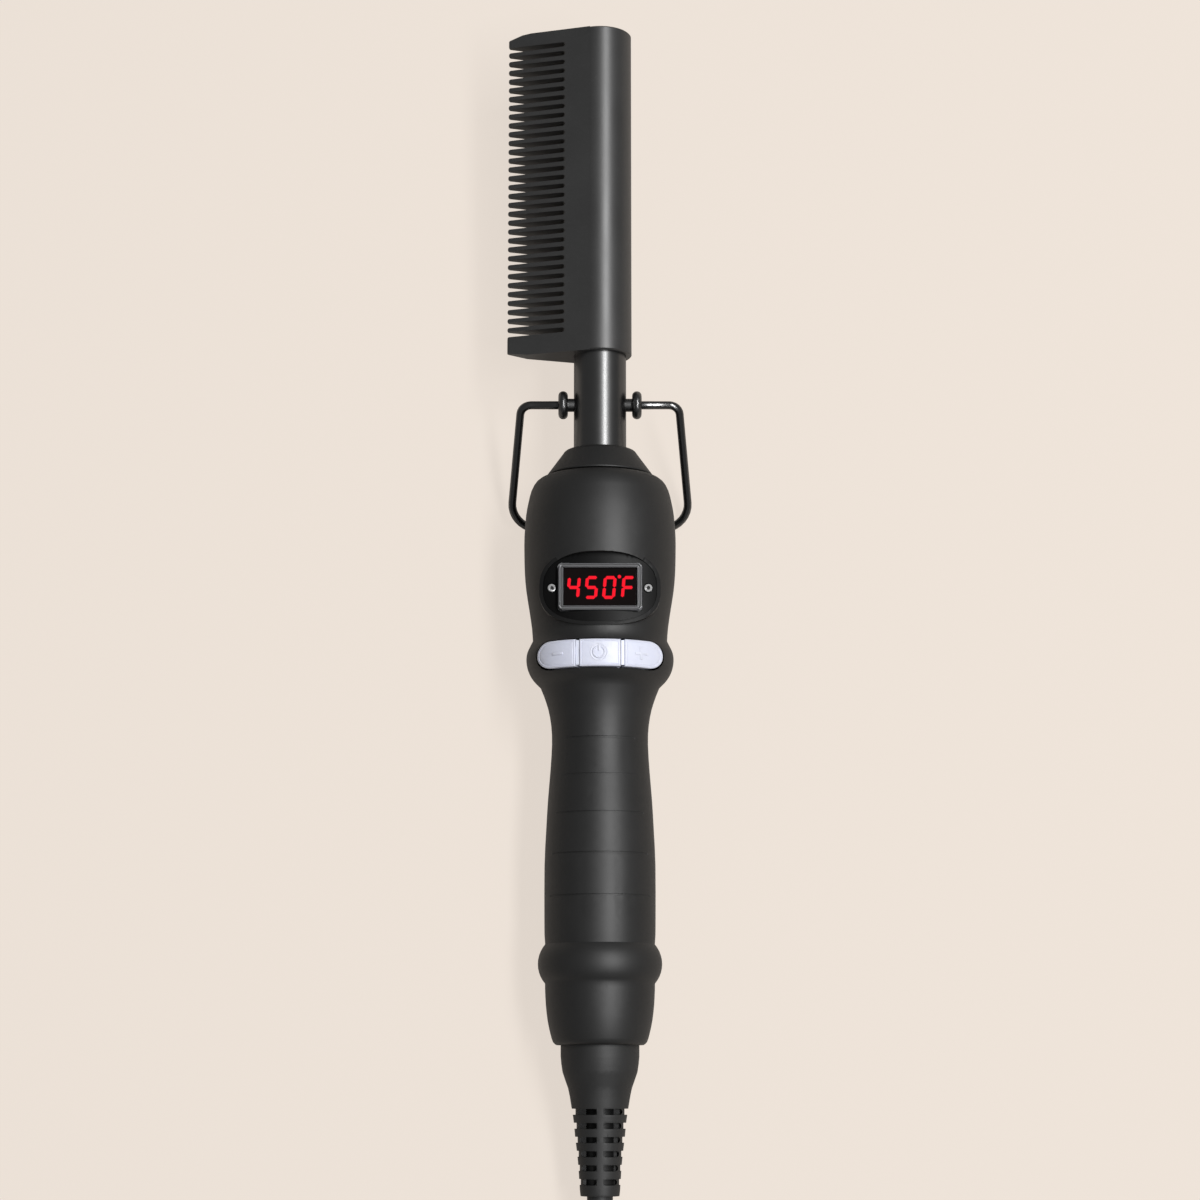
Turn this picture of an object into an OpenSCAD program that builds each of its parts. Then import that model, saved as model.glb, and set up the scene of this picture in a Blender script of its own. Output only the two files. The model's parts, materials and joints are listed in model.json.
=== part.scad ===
// Electric hot comb with a temperature display, three keys, a folding wire stand
// and a swivelling strain relief. Millimetres.
//
// Every piece is drawn in the tool's own frame and then laid down by placed():
// +Y runs along the handle towards the comb, with 0 at the end of the handle,
// +X is to the right when the display is looked at, and +Z is the display side.
// The tool lies on its back, on the crossbar of the stand and the bead of the handle.

/* [Comb] */
// Length of the comb head along the handle
comb_len = 82; // [76:1:90]
// Diameter of the round barrel that holds the heater
barrel_d = 15.4; // [15:0.1:17]
// Distance from the barrel's axis to the tips of the teeth
comb_reach = 22.6; // [20:0.1:24]
// Thickness of the comb at the tips of the teeth
tip_t = 1.4; // [1:0.1:2]
// Number of gaps between teeth
gap_count = 33; // [20:1:33]
// Distance from one gap to the next
gap_pitch = 2.27; // [2.1:0.01:2.3]
// Width of a gap at its root
gap_w = 1.15; // [0.8:0.05:1.2]
// Distance from the barrel's axis to the root of a gap
gap_root = 8.6; // [8.4:0.1:12]

/* [Neck and stand] */
// Diameter of the neck tube
neck_d = 12.7; // [12:0.1:13]
// Wall of the neck tube
neck_wall = 0.8; // [0.6:0.1:1.2]
// Diameter of the stand's wire
wire_d = 2; // [1.6:0.1:2.4]
// Distance from the pivot to the crossbar of the stand
stand_len = 33; // [32.5:0.1:34]
// Angle between the folded stand and the handle
fold_angle = 35.5; // [35.5:0.1:40]
// Outward slope of the stand's legs
leg_splay = 5.5; // [3:0.5:7]

/* [Handle] */
// Radius of the bead near the end of the handle
bead_r = 14.6; // [14.4:0.1:15]
// Number of grooves across the grip
groove_count = 5; // [3:1:5]
// Play between a moving piece and what it moves in
play = 0.3; // [0.25:0.05:0.35]

/* [Display and keys] */
// Width of the oval display bezel
bezel_w = 26.8; // [25:0.1:27]
// Height of the oval display bezel
bezel_h = 16.4; // [15.6:0.1:16.6]
// Width of the rectangular display frame
frame_w = 19.4; // [18.8:0.1:19.6]
// Height of the rectangular display frame
frame_h = 11; // [10.6:0.1:11.2]
// Length of the strip of keys from end to end
keys_w = 29.6; // [28:0.1:30]
// Height of the strip of keys
keys_h = 6.4; // [6:0.1:6.6]
// How far a key moves when it is pressed
key_travel = 0.6; // [0.4:0.1:0.6]

/* [Cord] */
// Diameter of the cord
cord_d = 6; // [5.6:0.1:6]
// Length of the straight runs of the tied hank
run_len = 102; // [92:1:110]
// Radius of the outermost fold of the hank
fold_r = 25.7; // [25.7:0.1:27]
// Distance between neighbouring loops of the hank
loop_pitch = 6.6; // [6.6:0.1:6.8]

/* [Hidden] */
$fn = 72;

barrel_r = barrel_d / 2;
neck_r = neck_d / 2;
wire_r = wire_d / 2;
cord_r = cord_d / 2;

// Places along the handle
comb_top = 247.6;
comb_bottom = comb_top - comb_len;
gap_middle = comb_bottom + 41.8;
socket_depth = 12;
socket_end = comb_bottom + socket_depth;
pivot_y = 153.5;
collar_top = 142;
seam_y = 135.2;
display_y = 105.9;
keys_y = 90.2;
bead_y = 18.8;
relief_end = -34.5;
relief_r = 4.6;

// Bead: an arc of this radius whose centre lies nearer the axis
bead_arc_r = 7;
bead_core_r = bead_r - bead_arc_r;

// Rest on a table: the crossbar and the bead both touch it
bar_y = pivot_y - stand_len * cos(fold_angle);
bar_z = -stand_len * sin(fold_angle);
rest_run = bar_y - bead_y;
rest_drop = -bar_z - bead_core_r;
rest_rise = bead_arc_r - wire_r;
rest_tilt = atan(rest_drop / rest_run) - asin(rest_rise / norm([rest_run, rest_drop]));
rest_lift = bead_core_r * cos(rest_tilt) + bead_arc_r - bead_y * sin(rest_tilt);
far_y = comb_top * cos(rest_tilt) + barrel_r * sin(rest_tilt);
near_y = relief_end * cos(rest_tilt) - relief_r * sin(rest_tilt);
middle_y = (far_y + near_y) / 2;

module placed() {
    translate([0, -middle_y, rest_lift])
        rotate([rest_tilt, 0, 0])
            children();
}

// A point on the handle's axis, where it lies on the table
function on_axis(y) = [0, y * cos(rest_tilt) - middle_y, y * sin(rest_tilt) + rest_lift];

module turned(profile) {
    rotate([-90, 0, 0])
        rotate_extrude()
            polygon(profile);
}

module turned_ring(inner_r, outer_r, from_y, to_y) {
    turned([[inner_r, from_y], [outer_r, from_y], [outer_r, to_y], [inner_r, to_y]]);
}

module rod(r, from_y, to_y, x = 0, z = 0) {
    translate([x, from_y, z])
        rotate([-90, 0, 0])
            cylinder(r = r, h = to_y - from_y);
}

module post(r, from_z, to_z, x, y) {
    translate([x, y, from_z])
        cylinder(r = r, h = to_z - from_z);
}

module block(size_x, size_y, from_z, to_z, y, x = 0) {
    translate([x - size_x / 2, y - size_y / 2, from_z])
        cube([size_x, size_y, to_z - from_z]);
}

function arc_points(cx, cy, r, from_a, to_a, steps) =
    [for (i = [0:steps])
        let (a = from_a + (to_a - from_a) * i / steps)
        [cx + r * cos(a), cy + r * sin(a)]];

// Smooth curve through key points
function curve_point(a, b, c, d, t) =
    0.5 * (2 * b + (c - a) * t + (2 * a - 5 * b + 4 * c - d) * t * t
        + (3 * b - a - 3 * c + d) * t * t * t);
function key_before(keys, i) = i == 0 ? 2 * keys[0] - keys[1] : keys[i - 1];
function key_after(keys, i) =
    i + 2 < len(keys) ? keys[i + 2] : 2 * keys[i + 1] - keys[i];
function smooth_line(keys, steps) = concat(
    [for (i = [0:len(keys) - 2])
        for (j = [0:steps - 1])
            curve_point(key_before(keys, i), keys[i], keys[i + 1], key_after(keys, i), j / steps)],
    [keys[len(keys) - 1]]);

// Round tube along a line of points, with both ends closed
function unit(v) = v / norm(v);
function tangent(points, i) =
    i == 0 ? unit(points[1] - points[0])
    : i == len(points) - 1 ? unit(points[i] - points[i - 1])
    : unit(unit(points[i + 1] - points[i]) + unit(points[i] - points[i - 1]));
function side_way(t) = unit(cross(t, [0, 0, 1]));
function ring_at(points, i, r, sides) =
    let (t = tangent(points, i), u = side_way(t), v = cross(u, t))
    [for (k = [0:sides - 1])
        let (a = 360 * (k + 0.5) / sides)
        points[i] + r * (u * cos(a) + v * sin(a))];

module tube(points, r, sides) {
    last = len(points) - 1;
    corners = [for (i = [0:last]) each ring_at(points, i, r, sides)];
    walls = [for (i = [0:last - 1])
        for (k = [0:sides - 1])
            let (a = i * sides + k, b = i * sides + (k + 1) % sides)
            each [[a, b, b + sides], [a, b + sides, a + sides]]];
    start_cap = [for (k = [1:sides - 2]) [0, k + 1, k]];
    end_cap = [for (k = [1:sides - 2]) [last * sides, last * sides + k, last * sides + k + 1]];
    polyhedron(points = corners, faces = concat(walls, start_cap, end_cap), convexity = 10);
}

// ---------------------------------------------------------------- comb head

tip_r = tip_t / 2;
tip_x = comb_reach - tip_r;
blend_r = barrel_r - 0.02;
face_slope = asin((blend_r - tip_r) / tip_x);
heater_r = 3.3;
heater_end = comb_top - 4;
sensor_x = 4.7;
sensor_end = socket_end + 15;

// Section of the wedge: two faces that leave the barrel at a tangent, and a round tip
function wedge_section() = concat(
    [[-blend_r * sin(face_slope), blend_r * cos(face_slope)]],
    arc_points(-tip_x, 0, tip_r, 90 + face_slope, 270 - face_slope, 6),
    [[-blend_r * sin(face_slope), -blend_r * cos(face_slope)]]);

// One gap, open at the tips, where it flares so that the tooth ends are round
tooth_end_r = 0.42;
gap_tip_w = gap_w + 0.2;
function flare(t) = tooth_end_r - sqrt(1 - t * t) * tooth_end_r;
function gap_edge() = concat(
    [for (t = [1, 0.85, 0.55, 0])
        [-comb_reach + tooth_end_r * (1 - t), gap_tip_w / 2 + flare(t)]],
    arc_points(-gap_root - gap_w / 2, 0, gap_w / 2, 90, 0, 3));
function gap_outline() = concat(
    [[-comb_reach - 1, gap_tip_w / 2 + tooth_end_r]],
    gap_edge(),
    [for (i = [len(gap_edge()) - 2:-1:0]) [gap_edge()[i][0], -gap_edge()[i][1]]],
    [[-comb_reach - 1, -gap_tip_w / 2 - tooth_end_r]]);

module comb_head() {
    edge = 0.35;
    top_cut = [[-comb_reach - 1, comb_top - 1.6], [-comb_reach, comb_top - 1.4],
        [-comb_reach + 3.4, comb_top - 0.25], [-comb_reach + 6.4, comb_top + 0.1],
        [-comb_reach - 1, comb_top + 1]];
    bottom_cut = [[-comb_reach - 1, comb_bottom + 0.8], [-comb_reach, comb_bottom + 0.7],
        [-comb_reach + 5.2, comb_bottom - 0.05], [-comb_reach - 1, comb_bottom - 1]];
    color([0.12, 0.12, 0.13])
        placed()
            difference() {
                union() {
                    turned([[0, comb_bottom], [barrel_r - edge, comb_bottom],
                        [barrel_r, comb_bottom + edge], [barrel_r, comb_top - edge],
                        [barrel_r - edge, comb_top], [0, comb_top]]);
                    translate([0, comb_top, 0])
                        rotate([90, 0, 0])
                            linear_extrude(comb_len)
                                polygon(wedge_section());
                }
                for (i = [0:gap_count - 1])
                    translate([0, gap_middle + (i - (gap_count - 1) / 2) * gap_pitch, -barrel_r - 1])
                        linear_extrude(2 * barrel_r + 2)
                            polygon(gap_outline());
                translate([0, 0, -barrel_r - 1])
                    linear_extrude(2 * barrel_r + 2)
                        polygon(top_cut);
                translate([0, 0, -barrel_r - 1])
                    linear_extrude(2 * barrel_r + 2)
                        polygon(bottom_cut);
                rod(neck_r + 0.05, comb_bottom - 1, socket_end);
                rod(heater_r + 0.1, socket_end - 1, heater_end);
                rod(0.85, socket_end - 1, sensor_end, sensor_x);
            }
}

module heater_rod() {
    color([0.86, 0.85, 0.82])
        placed()
            rod(heater_r, socket_end + 2, heater_end - 0.5);
}

module heater_insulator() {
    color([0.93, 0.91, 0.86])
        placed()
            difference() {
                rod(neck_r - neck_wall - 0.05, socket_end - 7, socket_end - 0.2);
                for (side = [-1, 1])
                    rod(0.6, socket_end - 8, socket_end + 1, side * 1.6);
                rod(0.9, socket_end - 8, socket_end + 1, sensor_x - 0.6, 0);
            }
}

module temperature_sensor() {
    color([0.75, 0.62, 0.3])
        placed()
            rod(0.8, socket_end + 1, sensor_end - 0.5, sensor_x);
}

module thermal_fuse() {
    color([0.8, 0.8, 0.8])
        placed()
            rod(1.5, 144, 155, 0, 2.6);
}

// Two insulated leads from the heater down the neck tube to the control board
module heater_leads() {
    color([0.85, 0.85, 0.8])
        placed()
            for (side = [-1, 1])
                rod(0.5, terminal_y + 0.05, socket_end + 1.9, side * 1.6);
}

// ---------------------------------------------------------------- neck and stand

boss_bead_in = 7.8;
boss_bead_out = 10.1;
boss_bead_r = 3.4;
boss_neck_r = 1.6;
pivot_play = 0.05;
tube_low = 121.6;

module neck_tube() {
    color([0.05, 0.05, 0.05])
        placed()
            difference() {
                turned_ring(neck_r - neck_wall, neck_r, tube_low, socket_end - 0.1);
                translate([0, pivot_y, 0])
                    rotate([0, 90, 0])
                        cylinder(r = boss_neck_r + 0.02, h = 3 * neck_r, center = true);
            }
}

// Steel flange on the end of the tube, held between ribs of the handle
module tube_flange() {
    color([0.7, 0.7, 0.72])
        placed()
            union() {
                turned_ring(neck_r + 0.02, 14.6, 124, 125.2);
                turned_ring(neck_r + 0.02, 7.6, 121.9, 124.4);
            }
}

module heat_shield() {
    color([0.9, 0.88, 0.82])
        placed()
            turned_ring(neck_r + 0.05, 10.2, 125.4, 128.4);
}

// Turned bosses: a spigot through the tube's wall, a waist and a bead with a bore
module pivot_bosses() {
    round_r = 1.1;
    bead = concat(
        [[0, boss_bead_in]],
        arc_points(boss_bead_r - round_r, boss_bead_in + round_r, round_r, -90, 0, 6),
        arc_points(boss_bead_r - round_r, boss_bead_out - round_r, round_r, 0, 90, 6),
        [[0, boss_bead_out]]);
    color([0.05, 0.05, 0.05])
        placed()
            for (side = [0, 180])
                translate([0, pivot_y, 0])
                    rotate([0, 0, side])
                        rotate([0, 90, 0])
                            difference() {
                                union() {
                                    translate([0, 0, neck_r - neck_wall - 0.3])
                                        cylinder(r = boss_neck_r, h = boss_bead_in - neck_r + neck_wall + 0.8);
                                    rotate_extrude()
                                        polygon(bead);
                                }
                                translate([0, 0, neck_r + 0.3])
                                    cylinder(r = wire_r + pivot_play, h = 10);
                            }
}

// The stand is drawn flat, with x across and y down its legs, and then folded back
corner_r = 2.6;
foot_r = 6.6;
wire_end_x = neck_r + 0.7;
corner_x = 16.8;
leg_top = [corner_x + corner_r * cos(leg_splay), corner_r * (1 - sin(leg_splay))];
leg_foot_y = stand_len - foot_r * (1 + sin(leg_splay));
leg_len = (leg_foot_y - leg_top[1]) / cos(leg_splay);
leg_foot = leg_top + leg_len * [sin(leg_splay), cos(leg_splay)];
foot_centre = leg_foot + foot_r * [-cos(leg_splay), sin(leg_splay)];

// The wire's line: its straight ends turn in the bosses, and the rest is swept
wire_join_x = 12.5;
wire_half = concat(
    [[wire_join_x, 0]],
    arc_points(corner_x, corner_r, corner_r, -90, -leg_splay, 6),
    arc_points(foot_centre[0], foot_centre[1], foot_r, -leg_splay, 90, 9));
wire_points = concat(
    [for (p = wire_half) [p[0], p[1], 0]],
    [for (i = [len(wire_half) - 1:-1:0]) [-wire_half[i][0], wire_half[i][1], 0]]);

module stand_wire() {
    color([0.05, 0.05, 0.05])
        placed()
            translate([0, pivot_y, 0])
                rotate([fold_angle, 0, 0])
                    rotate([180, 0, 0])
                        union() {
                            tube(wire_points, wire_r - 0.005, 12);
                            for (side = [-1, 1])
                                translate([side * (wire_end_x + wire_join_x) / 2, 0, 0])
                                    rotate([0, 90, 0])
                                        cylinder(r = wire_r, h = wire_join_x - wire_end_x, center = true);
                        }
}

module neck_collar() {
    base_r = 12.75;
    spigot_r = 10.6;
    color([0.13, 0.13, 0.13])
        placed()
            turned(concat(
                [[neck_r + 0.05, collar_top - 0.1]],
                arc_points(7.6, collar_top - 1.5, 1.5, 90, 25, 4),
                [[base_r, seam_y + 0.7], [base_r - 0.1, seam_y + 0.35], [spigot_r, seam_y + 0.35],
                    [spigot_r, 130], [neck_r + 0.05, 130]]));
}

// ---------------------------------------------------------------- handle shells

shell_open_r = 9.5;
cavity_low = 3;
groove_w = 0.4;
groove_depth = 0.35;
groove_places = [34.3, 44.1, 53.6, 62.5, 71.2];
// How far round the grip each groove reaches before it fades out
groove_reach = [62, 58, 53, 49, 44];
groove_grip_r = [13.1, 12.98, 12.55, 11.98, 11.43];

cup_keys = [[10.2, 0], [11, 0.7], [11.6, 2.6], [12.25, 5.6], [12.7, 9.4], [12.88, 13]];
bead_half = acos((12.9 - bead_core_r) / bead_arc_r);
grip_keys = [[13.05, 25.5], [13.1, 30], [13.1, 42], [12.75, 50], [12.33, 57.4], [11.75, 64.6],
    [11.42, 70.6], [11.6, 75], [12.3, 78.9], [13.3, 82]];
ring_keys = [[14.2, 84.2], [16, 86.1], [17.15, 88.2], [17.6, 90.6], [17.4, 92.4], [16.7, 94]];
housing_keys = [[16.05, 95.3], [16.3, 98.6], [16.95, 103], [17.65, 107.4], [18.05, 111.6],
    [18.2, 116.5], [18.2, 121], [17.85, 125.8], [17.3, 129], [16.55, 132], [15.4, 134],
    [13.9, 135], [12.8, 135.2]];
outline = concat(
    smooth_line(cup_keys, 2),
    arc_points(bead_core_r, bead_y, bead_arc_r, -bead_half, bead_half, 10),
    smooth_line(grip_keys, 2),
    smooth_line(ring_keys, 3),
    smooth_line(housing_keys, 2));
// Inside of the shells, from the collar down to the end wall
cavity = [[10.8, seam_y], [10.8, 133.2], [13.4, 132.2], [14.8, 129], [15.9, 122], [15.9, 114],
    [15.2, 106], [14.2, 98], [15.3, 93.5], [15.3, 88.5], [11.2, 82.5], [9.3, 75],
    [9.2, 70], [9.6, 63], [10.7, 50], [10.9, 40], [10.8, cavity_low],
    [shell_open_r, cavity_low]];

module shell_half(side) {
    rotate([-90, 0, 0])
        rotate([0, 0, side])
            rotate_extrude(angle = 180)
                polygon(concat([[shell_open_r, 0]], outline, cavity));
}

// Screws from the back: [x, y, height of the head's seat below the axis, wall radius]
screw_places = [[0, 31, 8.6, 11.9], [0, 68.5, 7, 10.2], [-9, 118.5, 11, 17.2], [9, 118.5, 11, 17.2]];
post_r = 3;
head_r = 2.3;
screw_r = 1.1;

// Short posts that the control board hangs from, beside the display
module board_posts() {
    for (x = [-8.6, 8.6])
        for (y = [97.2, 113])
            post(1.4, board_top + 0.05, pad_low + 0.1, x, y);
}

// Cross ribs that the power board lies on
module board_ribs() {
    intersection() {
        for (y = [41, 59])
            block(17, 1.4, -14, power_board_low - 0.05, y);
        rod(11.5, 30, 62);
    }
}

module posts(from_z, to_z) {
    for (s = screw_places)
        intersection() {
            post(post_r, from_z, to_z, s[0], s[1]);
            rod(s[3], s[1] - 2 * post_r, s[1] + 2 * post_r);
        }
}

// Two ribs that hold the steel flange
module flange_ribs(side) {
    rotate([-90, 0, 0])
        rotate([0, 0, side]) {
            rotate_extrude(angle = 180)
                polygon([[13, 125.4], [16.5, 125.4], [16.5, 126.6], [13, 126.6]]);
            rotate_extrude(angle = 180)
                polygon([[13, 122.6], [16.8, 122.6], [16.8, 123.8], [13, 123.8]]);
        }
}

// Oval outline, a little squarer than an ellipse
oval_power = 2.6;
function signed_power(v) = sign(v) * pow(abs(v), 2 / oval_power);
function oval(w, h) =
    [for (a = [0:7.5:359])
        [w / 2 * signed_power(cos(a)), h / 2 * signed_power(sin(a))]];

module oval_prism(grow, from_z, to_z) {
    translate([0, display_y, from_z])
        linear_extrude(to_z - from_z)
            polygon(oval(bezel_w + 2 * grow, bezel_h + 2 * grow));
}

dome_r = 34;
dome_top = 16.2;
rim_rise = 0.25;
rim_w = 0.9;
pocket_floor = 12.6;
pad_low = 11.3;

// Raised oval rim that carries the bezel: its top follows a wide curve
module display_pad() {
    intersection() {
        oval_prism(rim_w, pad_low, dome_top + 2);
        rod(dome_r + rim_rise, display_y - bezel_h, display_y + bezel_h, 0, dome_top - dome_r);
    }
}

// Outline of the strip of keys, seen from the front
function strip_outline(grow) =
    let (r = keys_h / 2 + grow, x = keys_w / 2 - keys_h / 2)
    concat(arc_points(x, keys_y, r, -90, 90, 10), arc_points(-x, keys_y, r, 90, 270, 10));

module strip_prism(grow, from_z, to_z) {
    translate([0, 0, from_z])
        linear_extrude(to_z - from_z)
            polygon(strip_outline(grow));
}

// A thin disc set forward of the axis cuts a groove that is deepest in front and fades
module grip_groove(i) {
    grip_r = groove_grip_r[i];
    spare = groove_depth * groove_depth + 2 * groove_depth * grip_r;
    ahead = spare / (2 * grip_r * (1 - cos(groove_reach[i])) + 2 * groove_depth);
    inner_r = grip_r - groove_depth;
    difference() {
        turned_ring(0, grip_r + 2, groove_places[i] - groove_w / 2, groove_places[i] + groove_w / 2);
        rod(grip_r - groove_depth + ahead, groove_places[i] - 1, groove_places[i] + 1, 0, -ahead);
        translate([-20, groove_places[i] - 1, -40])
            cube([40, 2, 40 + inner_r * cos(groove_reach[i])]);
    }
}

module handle_front() {
    color([0.13, 0.13, 0.13])
        placed()
            difference() {
                union() {
                    shell_half(180);
                    flange_ribs(180);
                    display_pad();
                    board_posts();
                    posts(0, 20);
                }
                oval_prism(0.05, pocket_floor, 20);
                block(frame_w + 0.2, frame_h + 0.2, pad_low - 4, 20, display_y);
                strip_prism(play, 4, 20);
                for (i = [0:groove_count - 1])
                    grip_groove(i);
                for (s = screw_places)
                    post(screw_r + 0.05, -1, 6.5, s[0], s[1]);
                for (side = [-1, 1])
                    post(0.55, pad_low + 0.3, 13, side * screw_x, display_y);
            }
}

module handle_rear() {
    color([0.13, 0.13, 0.13])
        placed()
            difference() {
                union() {
                    shell_half(0);
                    flange_ribs(0);
                    board_ribs();
                    posts(-20, 0);
                }
                for (s = screw_places) {
                    post(screw_r + 0.3, -20, 1, s[0], s[1]);
                    post(head_r + 0.3, -20, -s[2], s[0], s[1]);
                }
            }
}

module shell_screws() {
    color([0.25, 0.25, 0.26])
        placed()
            for (s = screw_places)
                difference() {
                    union() {
                        post(head_r, -s[2] - 1.6, -s[2], s[0], s[1]);
                        post(screw_r, -s[2] - 0.1, 6, s[0], s[1]);
                    }
                    block(0.6, 3.2, -s[2] - 2, -s[2] - 0.8, s[1], s[0]);
                    block(3.2, 0.6, -s[2] - 2, -s[2] - 0.8, s[1], s[0]);
                }
}

// ---------------------------------------------------------------- display

screw_x = 11.35;
window_w = frame_w - 2.3;
window_h = frame_h - 1.65;
ledge = 0.35;
frame_top = 16.5;
window_top = 15.8;
window_t = 0.7;

module display_bezel() {
    color([0.03, 0.03, 0.03])
        placed()
            difference() {
                intersection() {
                    oval_prism(0, pocket_floor + 0.05, dome_top + 1);
                    rod(dome_r, display_y - bezel_h, display_y + bezel_h, 0, dome_top - dome_r);
                }
                block(frame_w + 0.1, frame_h + 0.1, pocket_floor - 1, dome_top + 1, display_y);
                for (side = [-1, 1]) {
                    post(0.6, pocket_floor - 1, dome_top, side * screw_x, display_y);
                    post(1.15, dome_top - 2.5, dome_top + 1, side * screw_x, display_y);
                }
            }
}

module display_frame() {
    color([0.6, 0.6, 0.62])
        placed()
            difference() {
                block(frame_w, frame_h, pocket_floor, frame_top, display_y);
                block(window_w - 2 * ledge, window_h - 2 * ledge, pocket_floor - 1, frame_top + 1, display_y);
                block(window_w, window_h, window_top - window_t - 0.05, frame_top + 1, display_y);
            }
}

module display_window() {
    color([0.05, 0.02, 0.02])
        placed()
            block(window_w - 0.1, window_h - 0.1, window_top - window_t, window_top, display_y);
}

module display_module() {
    color([0.1, 0.1, 0.1])
        placed()
            block(window_w - 2 * ledge - 0.2, window_h - 2 * ledge - 0.2, board_top + 0.05,
                window_top - window_t - 0.05, display_y);
}

module bezel_screws() {
    head_low = dome_top - 2.45;
    color([0.75, 0.75, 0.76])
        placed()
            for (side = [-1, 1])
                difference() {
                    union() {
                        post(0.95, head_low, head_low + 0.7, side * screw_x, display_y);
                        post(0.5, pad_low + 0.4, head_low + 0.1, side * screw_x, display_y);
                    }
                    post(0.4, head_low + 0.35, head_low + 1, side * screw_x, display_y);
                }
}

// ---------------------------------------------------------------- electronics

board_low = 7;
board_top = 8.2;
power_board_low = -4.6;
terminal_y = 114.5;
supply_x = 5.2;
supply_r = 0.7;
switch_x = 8.6;
switch_top = 9.9;

// Board with a terminal block for the heater's leads below it
module control_board() {
    color([0.05, 0.3, 0.15])
        placed()
            union() {
                block(20, 28, board_low, board_top, 101);
                block(12, 5, -1.4, board_low + 0.1, terminal_y - 2.5);
            }
}

module tact_switches() {
    color([0.2, 0.2, 0.2])
        placed()
            for (x = [-switch_x, 0, switch_x]) {
                block(4, 4, board_top, board_top + 1.2, keys_y, x);
                post(1, board_top + 1.1, switch_top, x, keys_y);
            }
}

module power_board() {
    color([0.05, 0.3, 0.15])
        placed()
            union() {
                block(14.5, 27, power_board_low, -3.2, 50);
                for (y = [38.5, 61.5])
                    block(13, 3.4, -3.3, 0.6, y);
            }
}

// Insulated leads from the brushes to the power board, and on towards the control board
module supply_leads() {
    color([0.1, 0.1, 0.1])
        placed()
            for (side = [-1, 1]) {
                rod(supply_r, 12.05, 36.75, side * supply_x, -1.4);
                rod(supply_r, 63.25, terminal_y - 5.05, side * 4.4, -0.6);
            }
}

module filter_capacitor() {
    color([0.75, 0.6, 0.1])
        placed()
            block(8, 9, -3.2, 3.6, 45.3);
}

module triac() {
    color([0.12, 0.12, 0.12])
        placed()
            difference() {
                block(9, 8.8, -3.2, 0.4, 55);
                post(1.5, -4, 1, 0, 57.2);
            }
}

// ---------------------------------------------------------------- keys

key_split_x = 5.3;
key_gap = 1;
key_under_r = 14.6;
carrier_top_r = key_under_r - key_travel - play;
stem_r = 1.2;
stem_low = switch_top + key_travel + 0.1;

// Crowned band that the keys are cut from
key_band = [[key_under_r, keys_y - 4.6], [16.9, keys_y - 4.6], [17.6, keys_y - 2.6],
    [17.85, keys_y - 0.6], [17.85, keys_y + 0.6], [17.6, keys_y + 2.6], [16.9, keys_y + 4.6],
    [key_under_r, keys_y + 4.6]];

module key(from_x, to_x, stem_x) {
    color([0.86, 0.87, 0.93])
        placed() {
            intersection() {
                turned(key_band);
                strip_prism(0, 4, 20);
                translate([from_x, keys_y - 5, 4])
                    cube([to_x - from_x, 10, 16]);
            }
            post(stem_r, stem_low, key_under_r * cos(asin(stem_x / key_under_r)) + 0.8, stem_x, keys_y);
        }
}

// Frame under the keys. It guides the stems, stands on the control board with two feet, and
// its two bars show between the keys.
module key_carrier() {
    bar_r = 17.3;
    bar_t = key_gap - 2 * play;
    color([0.6, 0.61, 0.76])
        placed()
            difference() {
                union() {
                    intersection() {
                        turned_ring(carrier_top_r - 1, carrier_top_r, keys_y - 4, keys_y + 4);
                        strip_prism(0, switch_top + play, 20);
                    }
                    for (side = [-1, 1]) {
                        block(1.6, 3, board_top, carrier_top_r * 0.92 - 0.4, keys_y, side * key_split_x);
                        intersection() {
                            turned_ring(carrier_top_r - 0.5, bar_r, keys_y - 2.9, keys_y + 2.9);
                            block(bar_t, 6, 10, 20, keys_y, side * key_split_x);
                        }
                    }
                }
                for (x = [-switch_x, 0, switch_x])
                    post(stem_r + play, 9, 15, x, keys_y);
            }
}

module button_minus() {
    key(-16, -key_split_x - key_gap / 2, -switch_x);
}

module button_power() {
    key(-key_split_x + key_gap / 2, key_split_x - key_gap / 2, 0);
}

module button_plus() {
    key(key_split_x + key_gap / 2, 16, switch_x);
}

// ---------------------------------------------------------------- swivel

hub_r = 3.5;
hub_end = 9.9;
bore_end = -7.7;
slot_rows = 6;
slot_pitch = 3.2;
slot_first = -15.3;
slot_h = 1.4;
slot_web = 2;
spine_w = 1.5;
relief_keys = [[9.2, -2.6], [8.75, -6.2], [7.45, -9.9], [6.75, -13.6], [6.16, -17.2], [5.8, -20.9],
    [5.34, -24.6], [4.98, -28.2], [4.66, -33.2], [4.5, relief_end]];

// One slot, seen from the front: it ends in a round beside the spine
// Each row is a shallow groove round the relief, left out at the spines, with pockets from the
// front and the back that end at a web between them
function slot_floor(row) = 5.7 - 0.25 * row;
function slot_outline(row) = concat(
    arc_points(spine_w / 2 + slot_h / 2, 0, slot_h / 2, 90, 270, 6),
    arc_points(slot_floor(row) - 0.5 - slot_h / 2, 0, slot_h / 2, -90, 90, 6));

module slot_row(row) {
    y = slot_first - row * slot_pitch;
    difference() {
        turned_ring(slot_floor(row), 12, y - slot_h / 2, y + slot_h / 2);
        block(spine_w, slot_h + 1, -13, 13, y);
    }
    for (side = [0, 180])
        for (low = [slot_web / 2, -10])
            translate([0, y, low])
                rotate([0, 0, side])
                    linear_extrude(10 - slot_web / 2)
                        polygon(slot_outline(row));
}

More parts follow.
